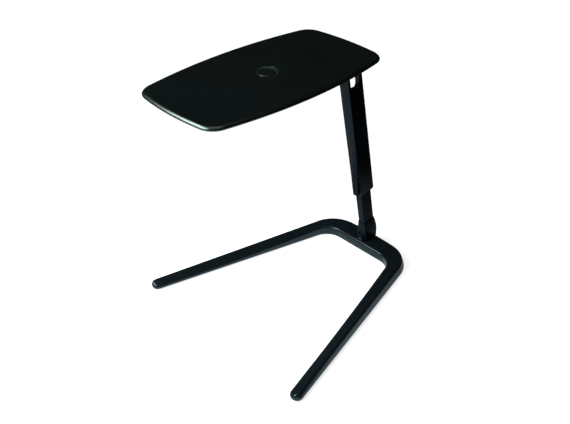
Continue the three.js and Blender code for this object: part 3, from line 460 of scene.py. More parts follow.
def basePlaces():
    b, tip, half = base, Vector(base["tip"]), base["tipWidth"] / 2
    corner = (Vector(b["innerCorner"]) + Vector(b["outerCorner"])) / 2
    along = (tip - corner).normalized()
    across = Vector((-along.y, along.x))
    inner = halfLine(b["innerCorner"], tip - across * half, b["innerRadius"], 0)
    outer = halfLine(b["outerCorner"], tip + across * half, b["outerRadius"], b["rearBow"])
    places = []
    for i, start in enumerate(inner):
        leg = max(i - b["barSteps"] - b["arcSteps"], 0) / b["legSteps"]
        bend = min(max(i - b["barSteps"], 0) / b["arcSteps"], 1)
        line, sag = outer[i] - start, b["innerSag"] * 4 * leg * (1 - leg)
        places.append({
            "start": start, "across": line.normalized(), "width": line.length,
            "inner": lerp(b["barHeight"], b["innerTipHeight"], leg) - sag,
            "outer": lerp(b["barHeight"], b["outerTipHeight"], leg),
            "ridge": lerp(b["ridgeAtBar"], b["ridgeAtTip"], leg),
            "crease": min(lerp(leg / b["creaseEnd"], bend, b["cornerCrease"]), 1),
            "squeeze": 0, "edge": b["softness"],
        })
    return places, along


# One section of the base: five soft corners.
def baseSection(place):
    soft, low = base["softness"], base["floorClearance"] + base["softness"]
    left, right = soft + place["squeeze"], place["width"] - soft - place["squeeze"]
    shoulder = max(right - place["ridge"], left)
    crease = lerp(left, shoulder, place["crease"])
    highInner, highOuter = max(place["inner"] - soft, low + gap), place["outer"] - soft
    wall = math.atan2(right - shoulder, highOuter - low)
    slope = math.atan2(highOuter - highInner, max(crease - left, gap))
    ring = []
    for s, z, start, end in (
        (left, low, 2 * quarter, 3 * quarter), (right, low, 3 * quarter, 4 * quarter + wall),
        (shoulder, highOuter, wall, quarter), (crease, highOuter, quarter, quarter + slope),
        (left, highInner, quarter + slope, 2 * quarter),
    ):
        for across, up in arc(s, z, place["edge"], start, end, base["sectionSteps"]):
            ring.append((*(place["start"] + place["across"] * across), up))
    return ring


# The rings that close a leg's round tip, while its two heights meet.
def tipSections(last, along):
    radius, soft = base["tipWidth"] / 2, base["softness"]
    half, level = radius - soft, (last["inner"] + last["outer"]) / 2
    rings = []
    for step in evenShares(base["tipSteps"])[1:]:
        angle = quarter * base["tipClose"] * step
        distance = radius * math.sin(angle)
        edge = math.sqrt(soft ** 2 - max(distance - half, 0) ** 2)
        squeeze = half + edge - radius * math.cos(angle)
        share = squeeze / half
        rings.append(baseSection({
            **last, "start": last["start"] + along * distance, "edge": edge, "squeeze": squeeze,
            "ridge": last["ridge"] * (1 - share), "inner": lerp(last["inner"], level, share),
            "outer": lerp(last["outer"], level, share)}))
    return rings


def makeBase():
    places, along = basePlaces()
    right = [baseSection(place) for place in places] + tipSections(places[-1], along)
    left = [[(-x, y, z) for x, y, z in ring] for ring in reversed(right[1:])]
    piece = skinRings("baseCasting", left + right)
    h, top, half = hinge, base["barHeight"], hinge["plateHalfWidth"] + gap
    cutters = [box("plateSeat", (-half, h["y"] - h["plateFront"] - gap, top - h["plateThickness"] - gap),
                   (half, h["y"] + h["plateRear"] + gap, top + over))]
    shelf = h["screwHeadZ"] + h["screwHeadHeight"] + gap
    for place in h["screws"]:
        spot = (0, h["y"] + place)
        cutters.append(rod("bore", h["screwRadius"] + gap, "z", shelf - over, top, spot))
        cutters.append(rod("sink", h["screwHeadRadius"] + gap, "z", -over, shelf, spot))
    for spot, radius in glideSpots():
        cutters.append(rod("pocket", radius + gap, "z", -over, glide["height"] + gap, spot))
    cutAway(piece, *cutters)
    return dress(piece, basePaint, "base", "base_paint", "base_frame", angle=35)


def glideSpots():
    pairs = ((base["tip"], glide["tipRadius"]), (glide["rear"], glide["rearRadius"]))
    return [((side * x, y), radius) for (x, y), radius in pairs for side in (1, -1)]


makeBase()
print("base made")


# --- column, drawn across and along its lean from the base hinge
column = {
    "lean": 12.1, "cornerSteps": 8,
    "postHalf": 11.75, "postFront": 8.2, "postRear": 50, "postWall": 2.5, "postCorner": 2.2,
    "postBottom": 16, "travel": 90,
    "sleeveHalf": 15.6, "sleeveFront": 5.3, "rearBelow": 67, "rear": 65, "rearFlat": 0.6, "rearSteps": 14,
    "sideWall": 2.3, "frontWall": 1.7, "rearWall": 3.3, "sleeveCorner": 2.4, "sleeveBottom": 177,
    "sleeveTopZ": 569.5, "sleeveCrown": 18, "sleeveEase": 0.4,
}
lean = math.radians(column["lean"])
leanTurn = Matrix.Translation((0, hinge["y"], hinge["z"])) @ Matrix.Rotation(lean, 4, "X")


def columnRing(half, front, rear, frontCorner, rearCorner, along, steps=column["cornerSteps"]):
    ring = []
    for x, y, radius, start in (
        (half - frontCorner, front + frontCorner, frontCorner, -quarter),
        (half - rearCorner, rear - rearCorner, rearCorner, 0),
        (rearCorner - half, rear - rearCorner, rearCorner, quarter),
        (frontCorner - half, front + frontCorner, frontCorner, 2 * quarter),
    ):
        ring += [leanTurn @ Vector((*p, along)) for p in arc(x, y, radius, start, start + quarter, steps)]
    return ring


def columnBar(name, half, front, rear, radius, start, end):
    return skinRings(name, [columnRing(half, front, rear, radius, radius, s) for s in (start, end)])


# A length of the sleeve's section, whose rear is nearly half round.
def sleeveBar(name, half, front, rears, radius, start, end):
    turn, steps = half - column["rearFlat"], column["rearSteps"]
    return skinRings(name, [columnRing(half, front, rear, radius, turn, s, steps)
                            for rear, s in zip(rears, (start, end))])


def slab(low, high):
    return box("slab", (-far, -far, low), (far, far, high))


# A piece drawn in the column's frame, set where the column stands.
def leanOver(piece):
    piece.data.transform(Matrix.Scale(mm, 4) @ leanTurn @ Matrix.Scale(1 / mm, 4))
    return piece


def acrossToY(across, z):
    return hinge["y"] + (across - (z - hinge["z"]) * math.sin(lean)) / math.cos(lean)


def heightToAlong(z, across):
    return (z - hinge["z"] - across * math.sin(lean)) / math.cos(lean)


sleeveRoof = heightToAlong(column["sleeveTopZ"], column["rear"]) - column["sleeveCrown"]
postTop = sleeveRoof - column["travel"] - 2 * gap


def makePost():
    c, wall = column, column["postWall"]
    outer = columnBar("columnPost", c["postHalf"], c["postFront"], c["postRear"], c["postCorner"],
                      c["postBottom"], postTop)
    bore = columnBar("bore", c["postHalf"] - wall, c["postFront"] + wall, c["postRear"] - wall,
                     c["postCorner"] / 2, c["postBottom"] - over, postTop + over)
    cutAway(outer, bore)
    return dress(outer, columnPaint, "column", "column_paint", "post")


# A curve from start to end that is pulled towards a third point; start itself is left out.
def curveThrough(start, pull, end, steps=12):
    start, pull, end = Vector(start), Vector(pull), Vector(end)
    return [start.lerp(pull, t).lerp(pull.lerp(end, t), t) for t in evenShares(steps)[1:]]


foot = {
    "top": 61.5, "half": 17.6, "corner": 3.4, "rearCorner": 5, "knuckle": 8.3, "stations": 34,
    "places": (-16, 14, 26, 45, 61.5), "widths": (1.0, 1.015, 0.985, 0.885, 0.755),
    "fronts": (1.6, 1.8, 3, 5.4, 6.9), "rears": (50, 55.2, 55.4, 54.2, 51),
    "barrelHalf": 9.8, "apronTop": 26, "apronBend": 5, "ease": 0.5,
    "throat": 8.7, "throatHalf": 5.6, "pinHole": 3.8, "setScrewPlace": 34, "setScrewRadius": 3,
}


# A smooth line through a table of values that never overshoots it.
def through(places, values, at):
    count = len(places)
    slopes = [(values[i + 1] - values[i]) / (places[i + 1] - places[i]) for i in range(count - 1)]
    tangents = [slopes[0]]
    for i in range(1, count - 1):
        a, b = slopes[i - 1], slopes[i]
        tangents.append(0 if a * b <= 0 else 2 * a * b / (a + b))
    tangents.append(slopes[-1])
    i = max(min(sum(1 for p in places if p <= at) - 1, count - 2), 0)
    span = places[i + 1] - places[i]
    t = min(max((at - places[i]) / span, 0), 1)
    return ((2 * t ** 3 - 3 * t ** 2 + 1) * values[i] + (t ** 3 - 2 * t ** 2 + t) * span * tangents[i]
            + (3 * t ** 2 - 2 * t ** 3) * values[i + 1] + (t ** 3 - t ** 2) * span * tangents[i + 1])


def makeFoot():
    f, c = foot, column
    rings = []
    for share in evenShares(f["stations"]):
        at = lerp(f["places"][0], f["places"][-1], share)
        half = f["half"] * through(f["places"], f["widths"], at)
        front, rear = (through(f["places"], f[key], at) for key in ("fronts", "rears"))
        rings.append(columnRing(half, front, rear, f["corner"], f["rearCorner"], at))
    piece = skinRings("columnFoot", rings)
    axle, top = (hinge["y"], hinge["z"]), base["barHeight"]
    nose, knuckle, high = f["barrelHalf"], f["knuckle"], f["apronTop"]
    line = [(c["postFront"], 0), (c["postFront"], high), (f["fronts"][2] + gap, high)]
    line += curveThrough(line[-1], (-knuckle, f["apronBend"]), (-knuckle, 0))
    apron = leanOver(skinRings("apron", [[(x, *p) for p in line] for x in (-nose, nose)]))
    joinWith(piece, rod("barrel", knuckle, "x", -nose, nose, axle), apron)
    socket = columnBar("socket", c["postHalf"] + gap, c["postFront"] - gap, c["postRear"] + gap,
                       c["postCorner"], c["postBottom"] - gap, f["top"] + over)
    inner, clear = f["throatHalf"], f["throat"]
    screwWay = rod("screwWay", f["setScrewRadius"] + gap, "y", c["postRear"] - over, far,
                   (0, f["setScrewPlace"]))
    cutAway(piece, slab(-far, top + gap), socket, rod("throat", clear, "x", -inner, inner, axle),
            box("stalk", (-inner, axle[0] - clear, top), (inner, axle[0] + clear, axle[1])),
            rod("pinWay", f["pinHole"], "x", -far, far, axle), leanOver(screwWay))
    easeEdges(piece, f["ease"])
    return dress(piece, columnPaint, "column", "column_paint", "foot")


arm = {
    "half": 10.3, "front": 54.5, "root": 25, "bendZ": 650, "frontHighZ": 640, "fillet": 15,
    "notchReach": 11, "notchRise": 24, "shoulderRise": 22,
    "jaw": 4.4, "mouth": 8, "length": 16, "lowerJaw": 8, "upper": 699.8, "lower": 695.2, "tail": 18,
}
cover = {
    "back": 5, "lipHalf": 8, "half": 17.4, "front": 2.4, "lipFront": -5.8, "edge": 1.8, "bottom": 182,
    "places": (0, 0.0376, 0.1545, 0.2463, 0.3507, 0.5594, 0.7389, 1),
    "widths": (0.07, 0.18, 0.55, 0.745, 0.895, 0.96, 1, 1),
    "lips": (0.92, 0.79, 0.32, 0.12, 0, 0, 0, 0), "stations": 80,
    "headThickness": 7.5, "headTaper": 14, "pinAcross": 3, "pinZ": 690, "knuckle": 7.5, "slotHalf": 8.4,
    "slotDepth": 12, "pinHole": 3.8,
}
headPinZ, headPinAlong = cover["pinZ"], heightToAlong(cover["pinZ"], cover["pinAcross"])
headPinY = acrossToY(cover["pinAcross"], headPinZ)


# The side of the arm that rises from the sleeve's rear and hooks over the release bar.
def armSide():
    a, topZ, rear, front = arm, column["sleeveTopZ"], column["rear"], arm["front"]
    rootZ, bite, lip = topZ - a["root"], a["tail"] + gap, a["lower"] - a["lowerJaw"]
    jawTop, mouthY, deepY = a["upper"] + a["jaw"], headPinY + bite, headPinY + bite + a["mouth"]
    notchZ, sill, notch = topZ + a["notchRise"], topZ - gap, front - a["notchReach"]
    at = lambda across, z: (acrossToY(across, z), z)
    line = [at(rear - column["sleeveCorner"], rootZ), at(rear, topZ), at(rear, a["bendZ"])]
    line += curveThrough(line[-1], at(rear, jawTop - a["fillet"]), (mouthY + a["length"], jawTop))
    line += [(mouthY, jawTop), (mouthY, a["upper"]), (deepY, a["upper"]), (deepY, a["lower"]),
             (mouthY, a["lower"]), (mouthY, lip), (mouthY + a["fillet"], lip)]
    line += curveThrough(line[-1], at(front, a["lower"] - a["fillet"]), at(front, a["frontHighZ"]))
    line += [at(front, notchZ), *curveThrough(at(front, notchZ), at(front, sill), at(notch, sill))]
    return line + [(line[-1][0], rootZ)]


# The arm seen from the rear: as wide as the sleeve, drawn in to its own width.
def armFace():
    half, wide, topZ = arm["half"], column["sleeveHalf"], column["sleeveTopZ"]
    turn = topZ - gap
    right = [(wide + over, topZ - arm["root"] - over), (wide, turn)]
    right += curveThrough((wide, turn), (half, turn), (half, turn + arm["shoulderRise"]))
    right.append((half, board["top"]))
    return right + [(-x, z) for x, z in reversed(right)]


def makeArm():
    c, wide = column, column["sleeveHalf"]
    piece = skinRings("arm", [[(x, *p) for p in armSide()] for x in (-wide, wide)])
    face = skinRings("face", [[(x, y, z) for x, z in armFace()] for y in (0, far)])
    low = heightToAlong(c["sleeveTopZ"], c["rear"]) - arm["root"] - over
    outer = sleeveBar("outer", wide, 0, (c["rear"], c["rear"]), c["sleeveCorner"], low, far)
    return combine(piece, (face, outer), "INTERSECT")


def makeSleeve():
    c = column
    high = heightToAlong(c["sleeveTopZ"], c["sleeveFront"]) + over
    piece = sleeveBar("columnSleeve", c["sleeveHalf"], c["sleeveFront"], (c["rearBelow"], c["rear"]),
                      c["sleeveCorner"], c["sleeveBottom"], high)
    cutAway(piece, slab(c["sleeveTopZ"], far))
    joinWith(piece, makeArm())
    rear = c["rear"] - c["rearWall"]
    cutAway(piece, sleeveBar("cavity", c["sleeveHalf"] - c["sideWall"], c["sleeveFront"] + c["frontWall"],
                             (rear, rear), c["postCorner"], c["sleeveBottom"] - over, sleeveRoof))
    easeEdges(piece, c["sleeveEase"])
    return dress(piece, columnPaint, "carriage", "column_paint", "sleeve")


def makeCover():
    v, rings = cover, []
    for share in evenShares(v["stations"]):
        half = lerp(v["lipHalf"], v["half"], through(v["places"], v["widths"], share))
        front = lerp(v["front"], v["lipFront"], through(v["places"], v["lips"], share))
        at = lerp(v["bottom"], headPinAlong, share)
        rings.append(columnRing(half, front, v["back"], v["edge"], gap, at))
    piece = skinRings("columnCover", rings)
    half, front, edge = v["half"], v["front"], v["edge"]
    back, low = front + v["headThickness"], heightToAlong(column["sleeveTopZ"], v["back"]) + gap
    head = skinRings("head", [
        columnRing(half, front, v["back"], edge, gap, low),
        columnRing(half, front, back, edge, edge, low + v["headTaper"]),
        columnRing(half, front, back, edge, edge, headPinAlong),
    ])
    axle = (headPinY, headPinZ)
    joinWith(piece, head, rod("barrel", v["knuckle"], "x", -half, half, axle))
    slot = box("slot", (-v["slotHalf"], -far, headPinAlong - v["slotDepth"]),
               (v["slotHalf"], far, headPinAlong + v["slotDepth"]))
    cutAway(piece, leanOver(slot), rod("pinWay", v["pinHole"], "x", -far, far, axle))
    return dress(piece, columnPaint, "carriage", "column_paint", "front_cover")


makePost()
makeFoot()
makeSleeve()
makeCover()
print("column made")


# --- turned parts: one tree spins a profile, sinks a hex socket and sets copies on spots
def newTree(name, sockets):
    tree = bpy.data.node_groups.new(name, "GeometryNodeTree")
    tree.interface.new_socket("Geometry", in_out="OUTPUT", socket_type="NodeSocketGeometry")
    for label, kind in sockets:
        tree.interface.new_socket(label, in_out="INPUT", socket_type="NodeSocket" + kind)
    return tree, tree.nodes.new("NodeGroupInput"), tree.nodes.new("NodeGroupOutput")


# Ends a tree with copies of a part on spots, turned and painted.
def endTree(tree, end, given, part, spots):
    turn = addNode(tree, "FunctionNodeEulerToRotation", {0: given["Turn"]})
    copies = addNode(tree, "GeometryNodeInstanceOnPoints",
                     {"Points": spots, "Instance": part, "Rotation": turn[0]})
    real = addNode(tree, "GeometryNodeRealizeInstances", {"Geometry": copies[0]})
    painted = addNode(tree, "GeometryNodeSetMaterial",
                      {"Geometry": real[0], "Material": given["Material"]})
    tree.links.new(painted[0], end.inputs["Geometry"])
    return tree


def makeTurnedTree():
    tree, start, end = newTree("turnedPart", [
        ("Profile", "Object"), ("Spots", "Object"), ("Segments", "Int"), ("Turn", "Vector"),
        ("Socket Radius", "Float"), ("Socket Depth", "Float"), ("Material", "Material")])
    given = start.outputs
    profile = addNode(tree, "GeometryNodeObjectInfo", {"Object": given["Profile"]})["Geometry"]
    rows = addNode(tree, "GeometryNodeAttributeDomainSize", {"Geometry": profile},
                   component="MESH")["Point Count"]
    columns = mathNode(tree, "ADD", given["Segments"], 1)
    grid = addNode(tree, "GeometryNodeMeshGrid", {"Vertices X": columns, "Vertices Y": rows})
    index = addNode(tree, "GeometryNodeInputIndex")[0]
    row = mathNode(tree, "MODULO", index, rows)
    place = mathNode(tree, "FLOOR", mathNode(tree, "DIVIDE", index, rows))
    angle = mathNode(tree, "MULTIPLY", mathNode(tree, "DIVIDE", place, given["Segments"]), 4 * quarter)
    position = addNode(tree, "GeometryNodeInputPosition")[0]
    sample = addNode(tree, "GeometryNodeSampleIndex",
                     {"Geometry": profile, "Index": row}, data_type="FLOAT_VECTOR", domain="POINT")
    values = sample[0].node.inputs
    tree.links.new(position, next(s for s in values if s.name == "Value" and s.enabled))
    point = addNode(tree, "ShaderNodeSeparateXYZ", {0: next(s for s in sample if s.enabled)})
    radius, height = point[0], point[2]
    x = mathNode(tree, "MULTIPLY", radius, mathNode(tree, "COSINE", angle))
    y = mathNode(tree, "MULTIPLY", radius, mathNode(tree, "SINE", angle))
    moved = addNode(tree, "ShaderNodeCombineXYZ", {0: x, 1: y, 2: height})[0]
    spun = addNode(tree, "GeometryNodeSetPosition", {"Geometry": grid["Mesh"], "Position": moved})
    closed = addNode(tree, "GeometryNodeMergeByDistance",
                     {"Geometry": spun[0], "Distance": 2 * near})[0]
    hexTool = addNode(tree, "GeometryNodeMeshCylinder", {
        "Vertices": 6, "Radius": given["Socket Radius"],
        "Depth": mathNode(tree, "MULTIPLY", given["Socket Depth"], 2)})["Mesh"]
    sunk = addNode(tree, "GeometryNodeMeshBoolean", {"Mesh 1": closed, "Mesh 2": hexTool},
                   operation="DIFFERENCE", solver="EXACT")["Mesh"]
    wanted = addNode(tree, "FunctionNodeCompare", {0: given["Socket Depth"], 1: 0.0},
                     data_type="FLOAT", operation="GREATER_THAN")[0]
    chosen = addNode(tree, "GeometryNodeSwitch", {"Switch": wanted, "False": closed, "True": sunk},
                     input_type="GEOMETRY")["Output"]
    spots = addNode(tree, "GeometryNodeObjectInfo", {"Object": given["Spots"]})["Geometry"]
    return endTree(tree, end, given, chosen, spots)


# Runs a tree once on an empty piece with inputs by name, and keeps the plain mesh.
def runTree(name, tree, values):
    piece = meshObject(name, [])
    change = piece.modifiers.new(tree.name, "NODES")
    change.node_group = tree
    for item in tree.interface.items_tree:
        if item.in_out == "INPUT":
            change[item.identifier] = values[item.name]
    return tidyMesh(settle(piece))


turnedTree = makeTurnedTree()


def turned(name, profile, spots, material, segments, turn=(0, 0, 0), socket=(1, 0)):
    shape = meshObject("profile", [(r, 0, z) for r, z in profile])
    where = meshObject("spots", spots)
    piece = runTree(name, turnedTree, {
        "Profile": shape, "Spots": where, "Segments": segments, "Turn": turn,
        "Socket Radius": socket[0] * mm, "Socket Depth": socket[1] * mm, "Material": material})
    bpy.data.objects.remove(shape)
    bpy.data.objects.remove(where)
    return piece


button = {
    "radius": 20, "drop": 1, "dish": 0.8, "crown": 3, "skirtWall": 3, "flangeRadius": 21.7,
    "flangeHeight": 2, "skirt": 8.6, "edge": 1.4, "edgeSteps": 10, "dishSteps": 14, "dishPower": 1.4,
    "segments": 144, "stemHalf": 4, "stemRear": 4, "stemFront": 7, "toe": 1, "toeZ": 697.2, "slope": 1.5,
}
bezel = {
    "radius": 29.4, "flange": 3.8, "dish": 2.6, "collar": 23.7, "collarWall": 1.5, "collarHeight": 13.5,
    "places": (0, 0.12, 0.3, 0.6, 1), "dips": (0, 0, 0.45, 0.86, 1), "dishSteps": 24, "segments": 144,
}


def makeButton():
    b, centreY = button, board["centreY"]
    top, r, edge, wide = board["top"] - b["drop"], b["radius"], b["edge"], b["flangeRadius"]
    under, low, inner, flat = top - b["crown"], top - b["skirt"], r - b["skirtWall"], r - edge
    ledge = low + b["flangeHeight"]
    profile = [(0, under), (inner, under), (inner, low), (wide, low), (wide, ledge), (r, ledge)]
    profile += arc(flat, top - edge, edge, 0, quarter, b["edgeSteps"])
    profile += [(flat * share, top - b["dish"] * (1 - share ** 2) ** b["dishPower"])
                for share in reversed(evenShares(b["dishSteps"])[:-1])]
    piece = turned("pushButton", profile, [(0, centreY, 0)], buttonSatin, b["segments"])
    toeY, rearY, frontY = centreY - b["toe"], centreY + b["stemRear"], centreY - b["stemFront"]
    heel = b["toeZ"] + (b["stemFront"] - b["toe"]) / b["slope"]
    line = [(toeY, b["toeZ"]), (rearY, b["toeZ"]), (rearY, under + gap), (frontY, under + gap),
            (frontY, heel)]
    joinWith(piece, skinRings("stem", [[(x, *p) for p in line] for x in (-b["stemHalf"], b["stemHalf"])]))
    return dress(piece, buttonSatin, "push", "button", "button")


def makeBezel():
    b = bezel
    top, mouth, inner = board["top"] - gap, button["radius"] + gap, b["collar"] - b["collarWall"]
    low, seat = board["top"] - b["collarHeight"], board["top"] - b["flange"]
    throat = board["top"] - button["drop"] - button["skirt"] + button["flangeHeight"] + gap
    dish = [(lerp(b["radius"], mouth, share), top - b["dish"] * through(b["places"], b["dips"], share))
            for share in evenShares(b["dishSteps"])]
    profile = [(mouth, throat), (inner, throat), (inner, low), (b["collar"], low), (b["collar"], seat),
               (b["radius"], seat), *dish, (mouth, throat)]
    piece = turned("buttonBezel", profile, [(0, board["centreY"], 0)], ringSatin, b["segments"])
    return dress(piece, ringSatin, "top", "button_ring", "button_ring", angle=40)


makeButton()
makeBezel()
print("button and ring made")


# --- screws, pins and glides
bracketScrew = {
    "radius": 2, "head": 4, "headHeight": 2.2, "length": 12, "x": 25, "behindPin": 44, "beforeButton": 42,
    "plate": 4, "socket": (1.5, 1.3),
}
plateScrew = {"socket": (2.3, 2.2)}
setScrew = {"radius": 3, "length": 3.6, "chamfer": 0.3, "segments": 40, "socket": (1.7, 2.0)}
pin = {"radius": 3.5, "chamfer": 0.5, "recess": 0.6, "headHalf": 25, "footHalf": 9.8}


# The sides of a plain rod with chamfered ends.
def rodProfile(radius, low, high, chamfer):
    return [(0, low), (radius - chamfer, low), (radius, low + chamfer), (radius, high - chamfer),
            (radius - chamfer, high), (0, high)]


def screwProfile(radius, head, headHeight, length, chamfer=0.3):
    return [(0, 0), (head - chamfer, 0), (head, chamfer), (head, headHeight), (radius, headHeight),
            *rodProfile(radius, 0, length, chamfer)[3:]]


def steelPart(name, profile, spots, body, *replaced, segments=48, **setting):
    piece = turned(name, profile, spots, zincPlate, segments, **setting)
    dress(piece, zincPlate, body, "steel", *replaced)


def makeScrews():
    s = bracketScrew
    low = board["top"] - board["thickness"] - s["plate"] - 2 * gap - s["headHeight"]
    rows = headPinY - s["behindPin"], board["centreY"] + s["beforeButton"]
    spots = [(side * s["x"], y, low) for y in rows for side in (1, -1)]
    reach = s["length"] + gap + s["headHeight"]
    steelPart("bracketScrews", screwProfile(s["radius"], s["head"], s["headHeight"], reach), spots, "top",
              *[f"bracket_screw_{i}" for i in (1, 2, 3, 4)], socket=s["socket"])
    h, reach = hinge, base["barHeight"] - gap - hinge["screwHeadZ"]
    spots = [(0, h["y"] + place, h["screwHeadZ"]) for place in h["screws"]]
    profile = screwProfile(h["screwRadius"], h["screwHeadRadius"], h["screwHeadHeight"], reach)
    steelPart("hingePlateScrews", profile, spots, "base", "hinge_plate_screw_1", "hinge_plate_screw_2",
              socket=plateScrew["socket"])
    s = setScrew
    spot = leanTurn @ Vector((0, column["postRear"] + gap + s["length"], foot["setScrewPlace"]))
    profile = rodProfile(s["radius"], 0, s["length"], s["chamfer"])
    steelPart("footSetScrew", profile, [spot], "column", "foot_set_screw", segments=s["segments"],
              turn=(quarter + lean, 0, 0), socket=s["socket"])


def makePin(name, half, y, z, body, node):
    profile = rodProfile(pin["radius"], -half, half, pin["chamfer"])
    steelPart(name, profile, [(0, y, z)], body, node, turn=(0, quarter, 0))


def makeGlides():
    high, c = glide["height"], glide["chamfer"]
    for name, row, radius in (("tipGlides", "front", glide["tipRadius"]),
                              ("rearGlides", "rear", glide["rearRadius"])):
        profile = [(0, 0), (radius - c, 0), (radius, c), (radius, high), (0, high)]
        where = [(x, y, 0) for (x, y), r in glideSpots() if r == radius]
        piece = turned(name, profile, where, glideRubber, glide["segments"])
        dress(piece, glideRubber, "base", "glide", f"glide_{row}_right", f"glide_{row}_left")


makeScrews()
makePin("basePin", pin["footHalf"] - pin["recess"], hinge["y"], hinge["z"], "base", "base_pin")
makePin("headPin", pin["headHalf"] - pin["recess"], headPinY, headPinZ, "carriage", "head_pin")
makeGlides()
print("screws, pins and glides made")


# --- springs: a spiral swept with a round wire
springs = {
    "button": {"radius": 11, "wire": 0.6, "turns": 3, "foot": 705.0, "travel": 3},
    "release": {"radius": 1.5, "wire": 0.35, "turns": 5, "length": 13, "front": 14, "fixedY": -112.9,
                "barDrop": 7.5, "travel": 4.5},
}
turnSteps, wireSteps = 40, 12


def makeSpringTree():
    tree, start, end = newTree("coilSpring", [
        ("Radius", "Float"), ("Wire", "Float"), ("Length", "Float"), ("Turns", "Float"),
        ("Place", "Vector"), ("Turn", "Vector"), ("Material", "Material")])
    given = start.outputs
    spiral = addNode(tree, "GeometryNodeCurveSpiral", {
        "Resolution": turnSteps, "Rotations": given["Turns"], "Start Radius": given["Radius"],
        "End Radius": given["Radius"], "Height": given["Length"]})
    wire = addNode(tree, "GeometryNodeCurvePrimitiveCircle",
                   {"Resolution": wireSteps, "Radius": given["Wire"]})
    swept = addNode(tree, "GeometryNodeCurveToMesh",
                    {"Curve": spiral[0], "Profile Curve": wire[0], "Fill Caps": True})
    spot = addNode(tree, "GeometryNodeMeshLine", {"Count": 1, "Start Location": given["Place"]})
    return endTree(tree, end, given, swept[0], spot[0])


springTree = makeSpringTree()


# A coil made by the spring tree, set at its place and turned.
def makeSpring(name, size, place, turn, node):
    wire = size["wire"]
    piece = runTree(name, springTree, {
        "Radius": size["radius"] * mm, "Wire": wire * mm, "Length": (size["length"] - 2 * wire) * mm,
        "Turns": float(size["turns"]), "Place": Vector(place) * mm, "Turn": turn, "Material": zincPlate})
    dress(piece, zincPlate, "top", "steel", node, angle=60)
    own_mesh(piece)


coil, y = springs["button"], board["centreY"]
coil["length"] = board["top"] - button["drop"] - button["crown"] - coil["foot"] - gap
makeSpring("buttonSpring", coil, (0, y, coil["foot"] + coil["wire"]), (0, 0, 0),
           "button_spring")
coil = springs["release"]
barZ = board["top"] - board["thickness"] - coil["barDrop"]
makeSpring("releaseSpring", coil, (0, y - coil["front"] - gap - coil["wire"], barZ), (quarter, 0, 0),
           "release_spring")
print("springs made")


# --- bracket and hinge plate are their solids with eased arrises; liners, washers and bar get a finish
bracketEase = {"width": 0.35, "flatAngle": 1}


def easedCopy(node, name, body):
    piece = nodes[node].copy()
    piece.data = nodes[node].data.copy()
    for key in list(piece.keys()):
        del piece[key]
    piece.name, piece.parent = name, None
    scene.collection.objects.link(piece)
    work = bmesh.new()
    work.from_mesh(piece.data)
    bmesh.ops.remove_doubles(work, verts=work.verts, dist=near)
    bmesh.ops.dissolve_limit(work, angle_limit=math.radians(bracketEase["flatAngle"]),
                             verts=work.verts, edges=work.edges)
    work.to_mesh(piece.data)
    work.free()
    easeEdges(piece, bracketEase["width"])
    return dress(piece, bracketPaint, body, "bracket", node)


easedCopy("top_bracket", "topBracket", "top")
easedCopy("hinge_plate", "hingePlate", "base")
for name in ("sleeve_liner", "post_slider", "head_washer_right", "head_washer_left",
             "base_washer_right", "base_washer_left"):
    paint(nodes[name], nylonBlack)
paint(nodes["release_bar"], barSteel)
print("bracket, plate and liners finished")


# --- floor, lamps and world
studio = {
    # the glow and its tint set the painted reflection of the floor; the pool values place and size the
    # painted pool of light
    "floorSize": 14, "floorTone": 0.75, "floorWhite": 0.72, "paintedReflectionGlow": 0.5,
    "paintedReflectionTint": (0.74, 0.91, 1.0), "backdropWhite": 1.05, "paintedPoolPlace": (-0.15, -0.25, 0),
    "paintedPoolSpan": (0.5, 0.95), "paintedPoolRest": 0.04, "worldLevel": 0.02, "worldTint": (0.95, 0.98, 1.0),
    "lamps": (
        {"name": "nearLamp", "place": (-0.44, -1.42, 1.60), "aim": (0, -0.35, 0.71),
         "width": 1.6, "height": 0.8, "power": 74, "tint": (0.90, 1.0, 0.97)},
        {"name": "topLamp", "place": (0.7, -0.5, 2.9), "aim": (0, 0, 0.4),
         "width": 1.8, "height": 1.8, "power": 12, "tint": (1.0, 0.99, 0.98)},
    ),
}
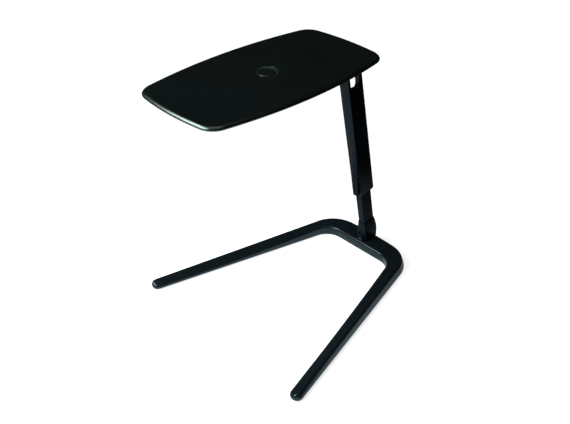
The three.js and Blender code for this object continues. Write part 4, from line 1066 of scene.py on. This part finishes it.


# The floor: a painted pool of light around the table, whose own colour fades away from it, running out into
# a backdrop that is white to the camera everywhere. What the table mirrors is a painted reflection glow
# that fades with the pool, as in a dark studio.
def makeFloor():
    s, size = studio, studio["floorSize"] / mm
    corners = [(-size, -size, 0), (size, -size, 0), (size, size, 0), (-size, size, 0)]
    floor = meshObject("studioFloor", corners, [(0, 1, 2, 3)])
    material = bpy.data.materials.new("studioFloor")
    tree = emptyTree(material)
    reach = addNode(tree, "ShaderNodeVectorMath", {0: coords(tree), 1: s["paintedPoolPlace"]},
                    operation="DISTANCE")["Value"]
    # painted pool of light: 1 at the table, falling to a little away from it
    paintedLightPool = spread(tree, reach, s["paintedPoolSpan"], 1, s["paintedPoolRest"])
    ray = addNode(tree, "ShaderNodeLightPath")
    clear = mathNode(tree, "MAXIMUM", ray["Is Camera Ray"], ray["Is Transmission Ray"])
    white = spread(tree, paintedLightPool, (0, 1), s["backdropWhite"], s["floorWhite"])
    # painted reflection: glossy rays see a glow that fades with the painted pool
    paintedReflection = mathNode(tree, "MULTIPLY", ray["Is Glossy Ray"], paintedLightPool)
    paintedReflection = mathNode(tree, "MULTIPLY", paintedReflection, s["paintedReflectionGlow"])
    seen = mathNode(tree, "MAXIMUM", mathNode(tree, "MULTIPLY", clear, white), paintedReflection)
    # the painted reflection is tinted
    tint = blendColours(tree, ray["Is Glossy Ray"], (1, 1, 1), s["paintedReflectionTint"])
    # painted pool of light in the floor's own colour, darker away from the table
    tone = mathNode(tree, "MULTIPLY", paintedLightPool, s["floorTone"])
    matt = addNode(tree, "ShaderNodeBsdfDiffuse", {"Color": tone})
    glow = addNode(tree, "ShaderNodeEmission", {"Color": tint, "Strength": seen})
    both = addNode(tree, "ShaderNodeAddShader", {0: matt[0], 1: glow[0]})
    addNode(tree, "ShaderNodeOutputMaterial", {"Surface": both[0]})
    paint(floor, material)


def makeLamps():
    for lamp in studio["lamps"]:
        data = bpy.data.lights.new(lamp["name"], "AREA")
        data.shape, data.size, data.size_y = "RECTANGLE", lamp["width"], lamp["height"]
        data.energy, data.color = lamp["power"], lamp["tint"]
        holder = addObject(lamp["name"], data)
        holder.visible_camera = False
        setFacing(holder, lamp["place"], lamp["aim"])


# Nearly dark for the table, white for the camera.
def makeWorld():
    scene.world = bpy.data.worlds.new("studioWorld")
    tree = emptyTree(scene.world)
    ray = addNode(tree, "ShaderNodeLightPath")["Is Camera Ray"]
    dim = addNode(tree, "ShaderNodeBackground", {
        "Color": (*studio["worldTint"], 1), "Strength": studio["worldLevel"]})
    white = addNode(tree, "ShaderNodeBackground", {"Color": (1, 1, 1, 1)})
    mix = addNode(tree, "ShaderNodeMixShader", {0: ray, 1: dim[0], 2: white[0]})
    addNode(tree, "ShaderNodeOutputWorld", {"Surface": mix[0]})


makeFloor()
makeLamps()
makeWorld()
scene.view_settings.view_transform = "Standard"
print("studio set")
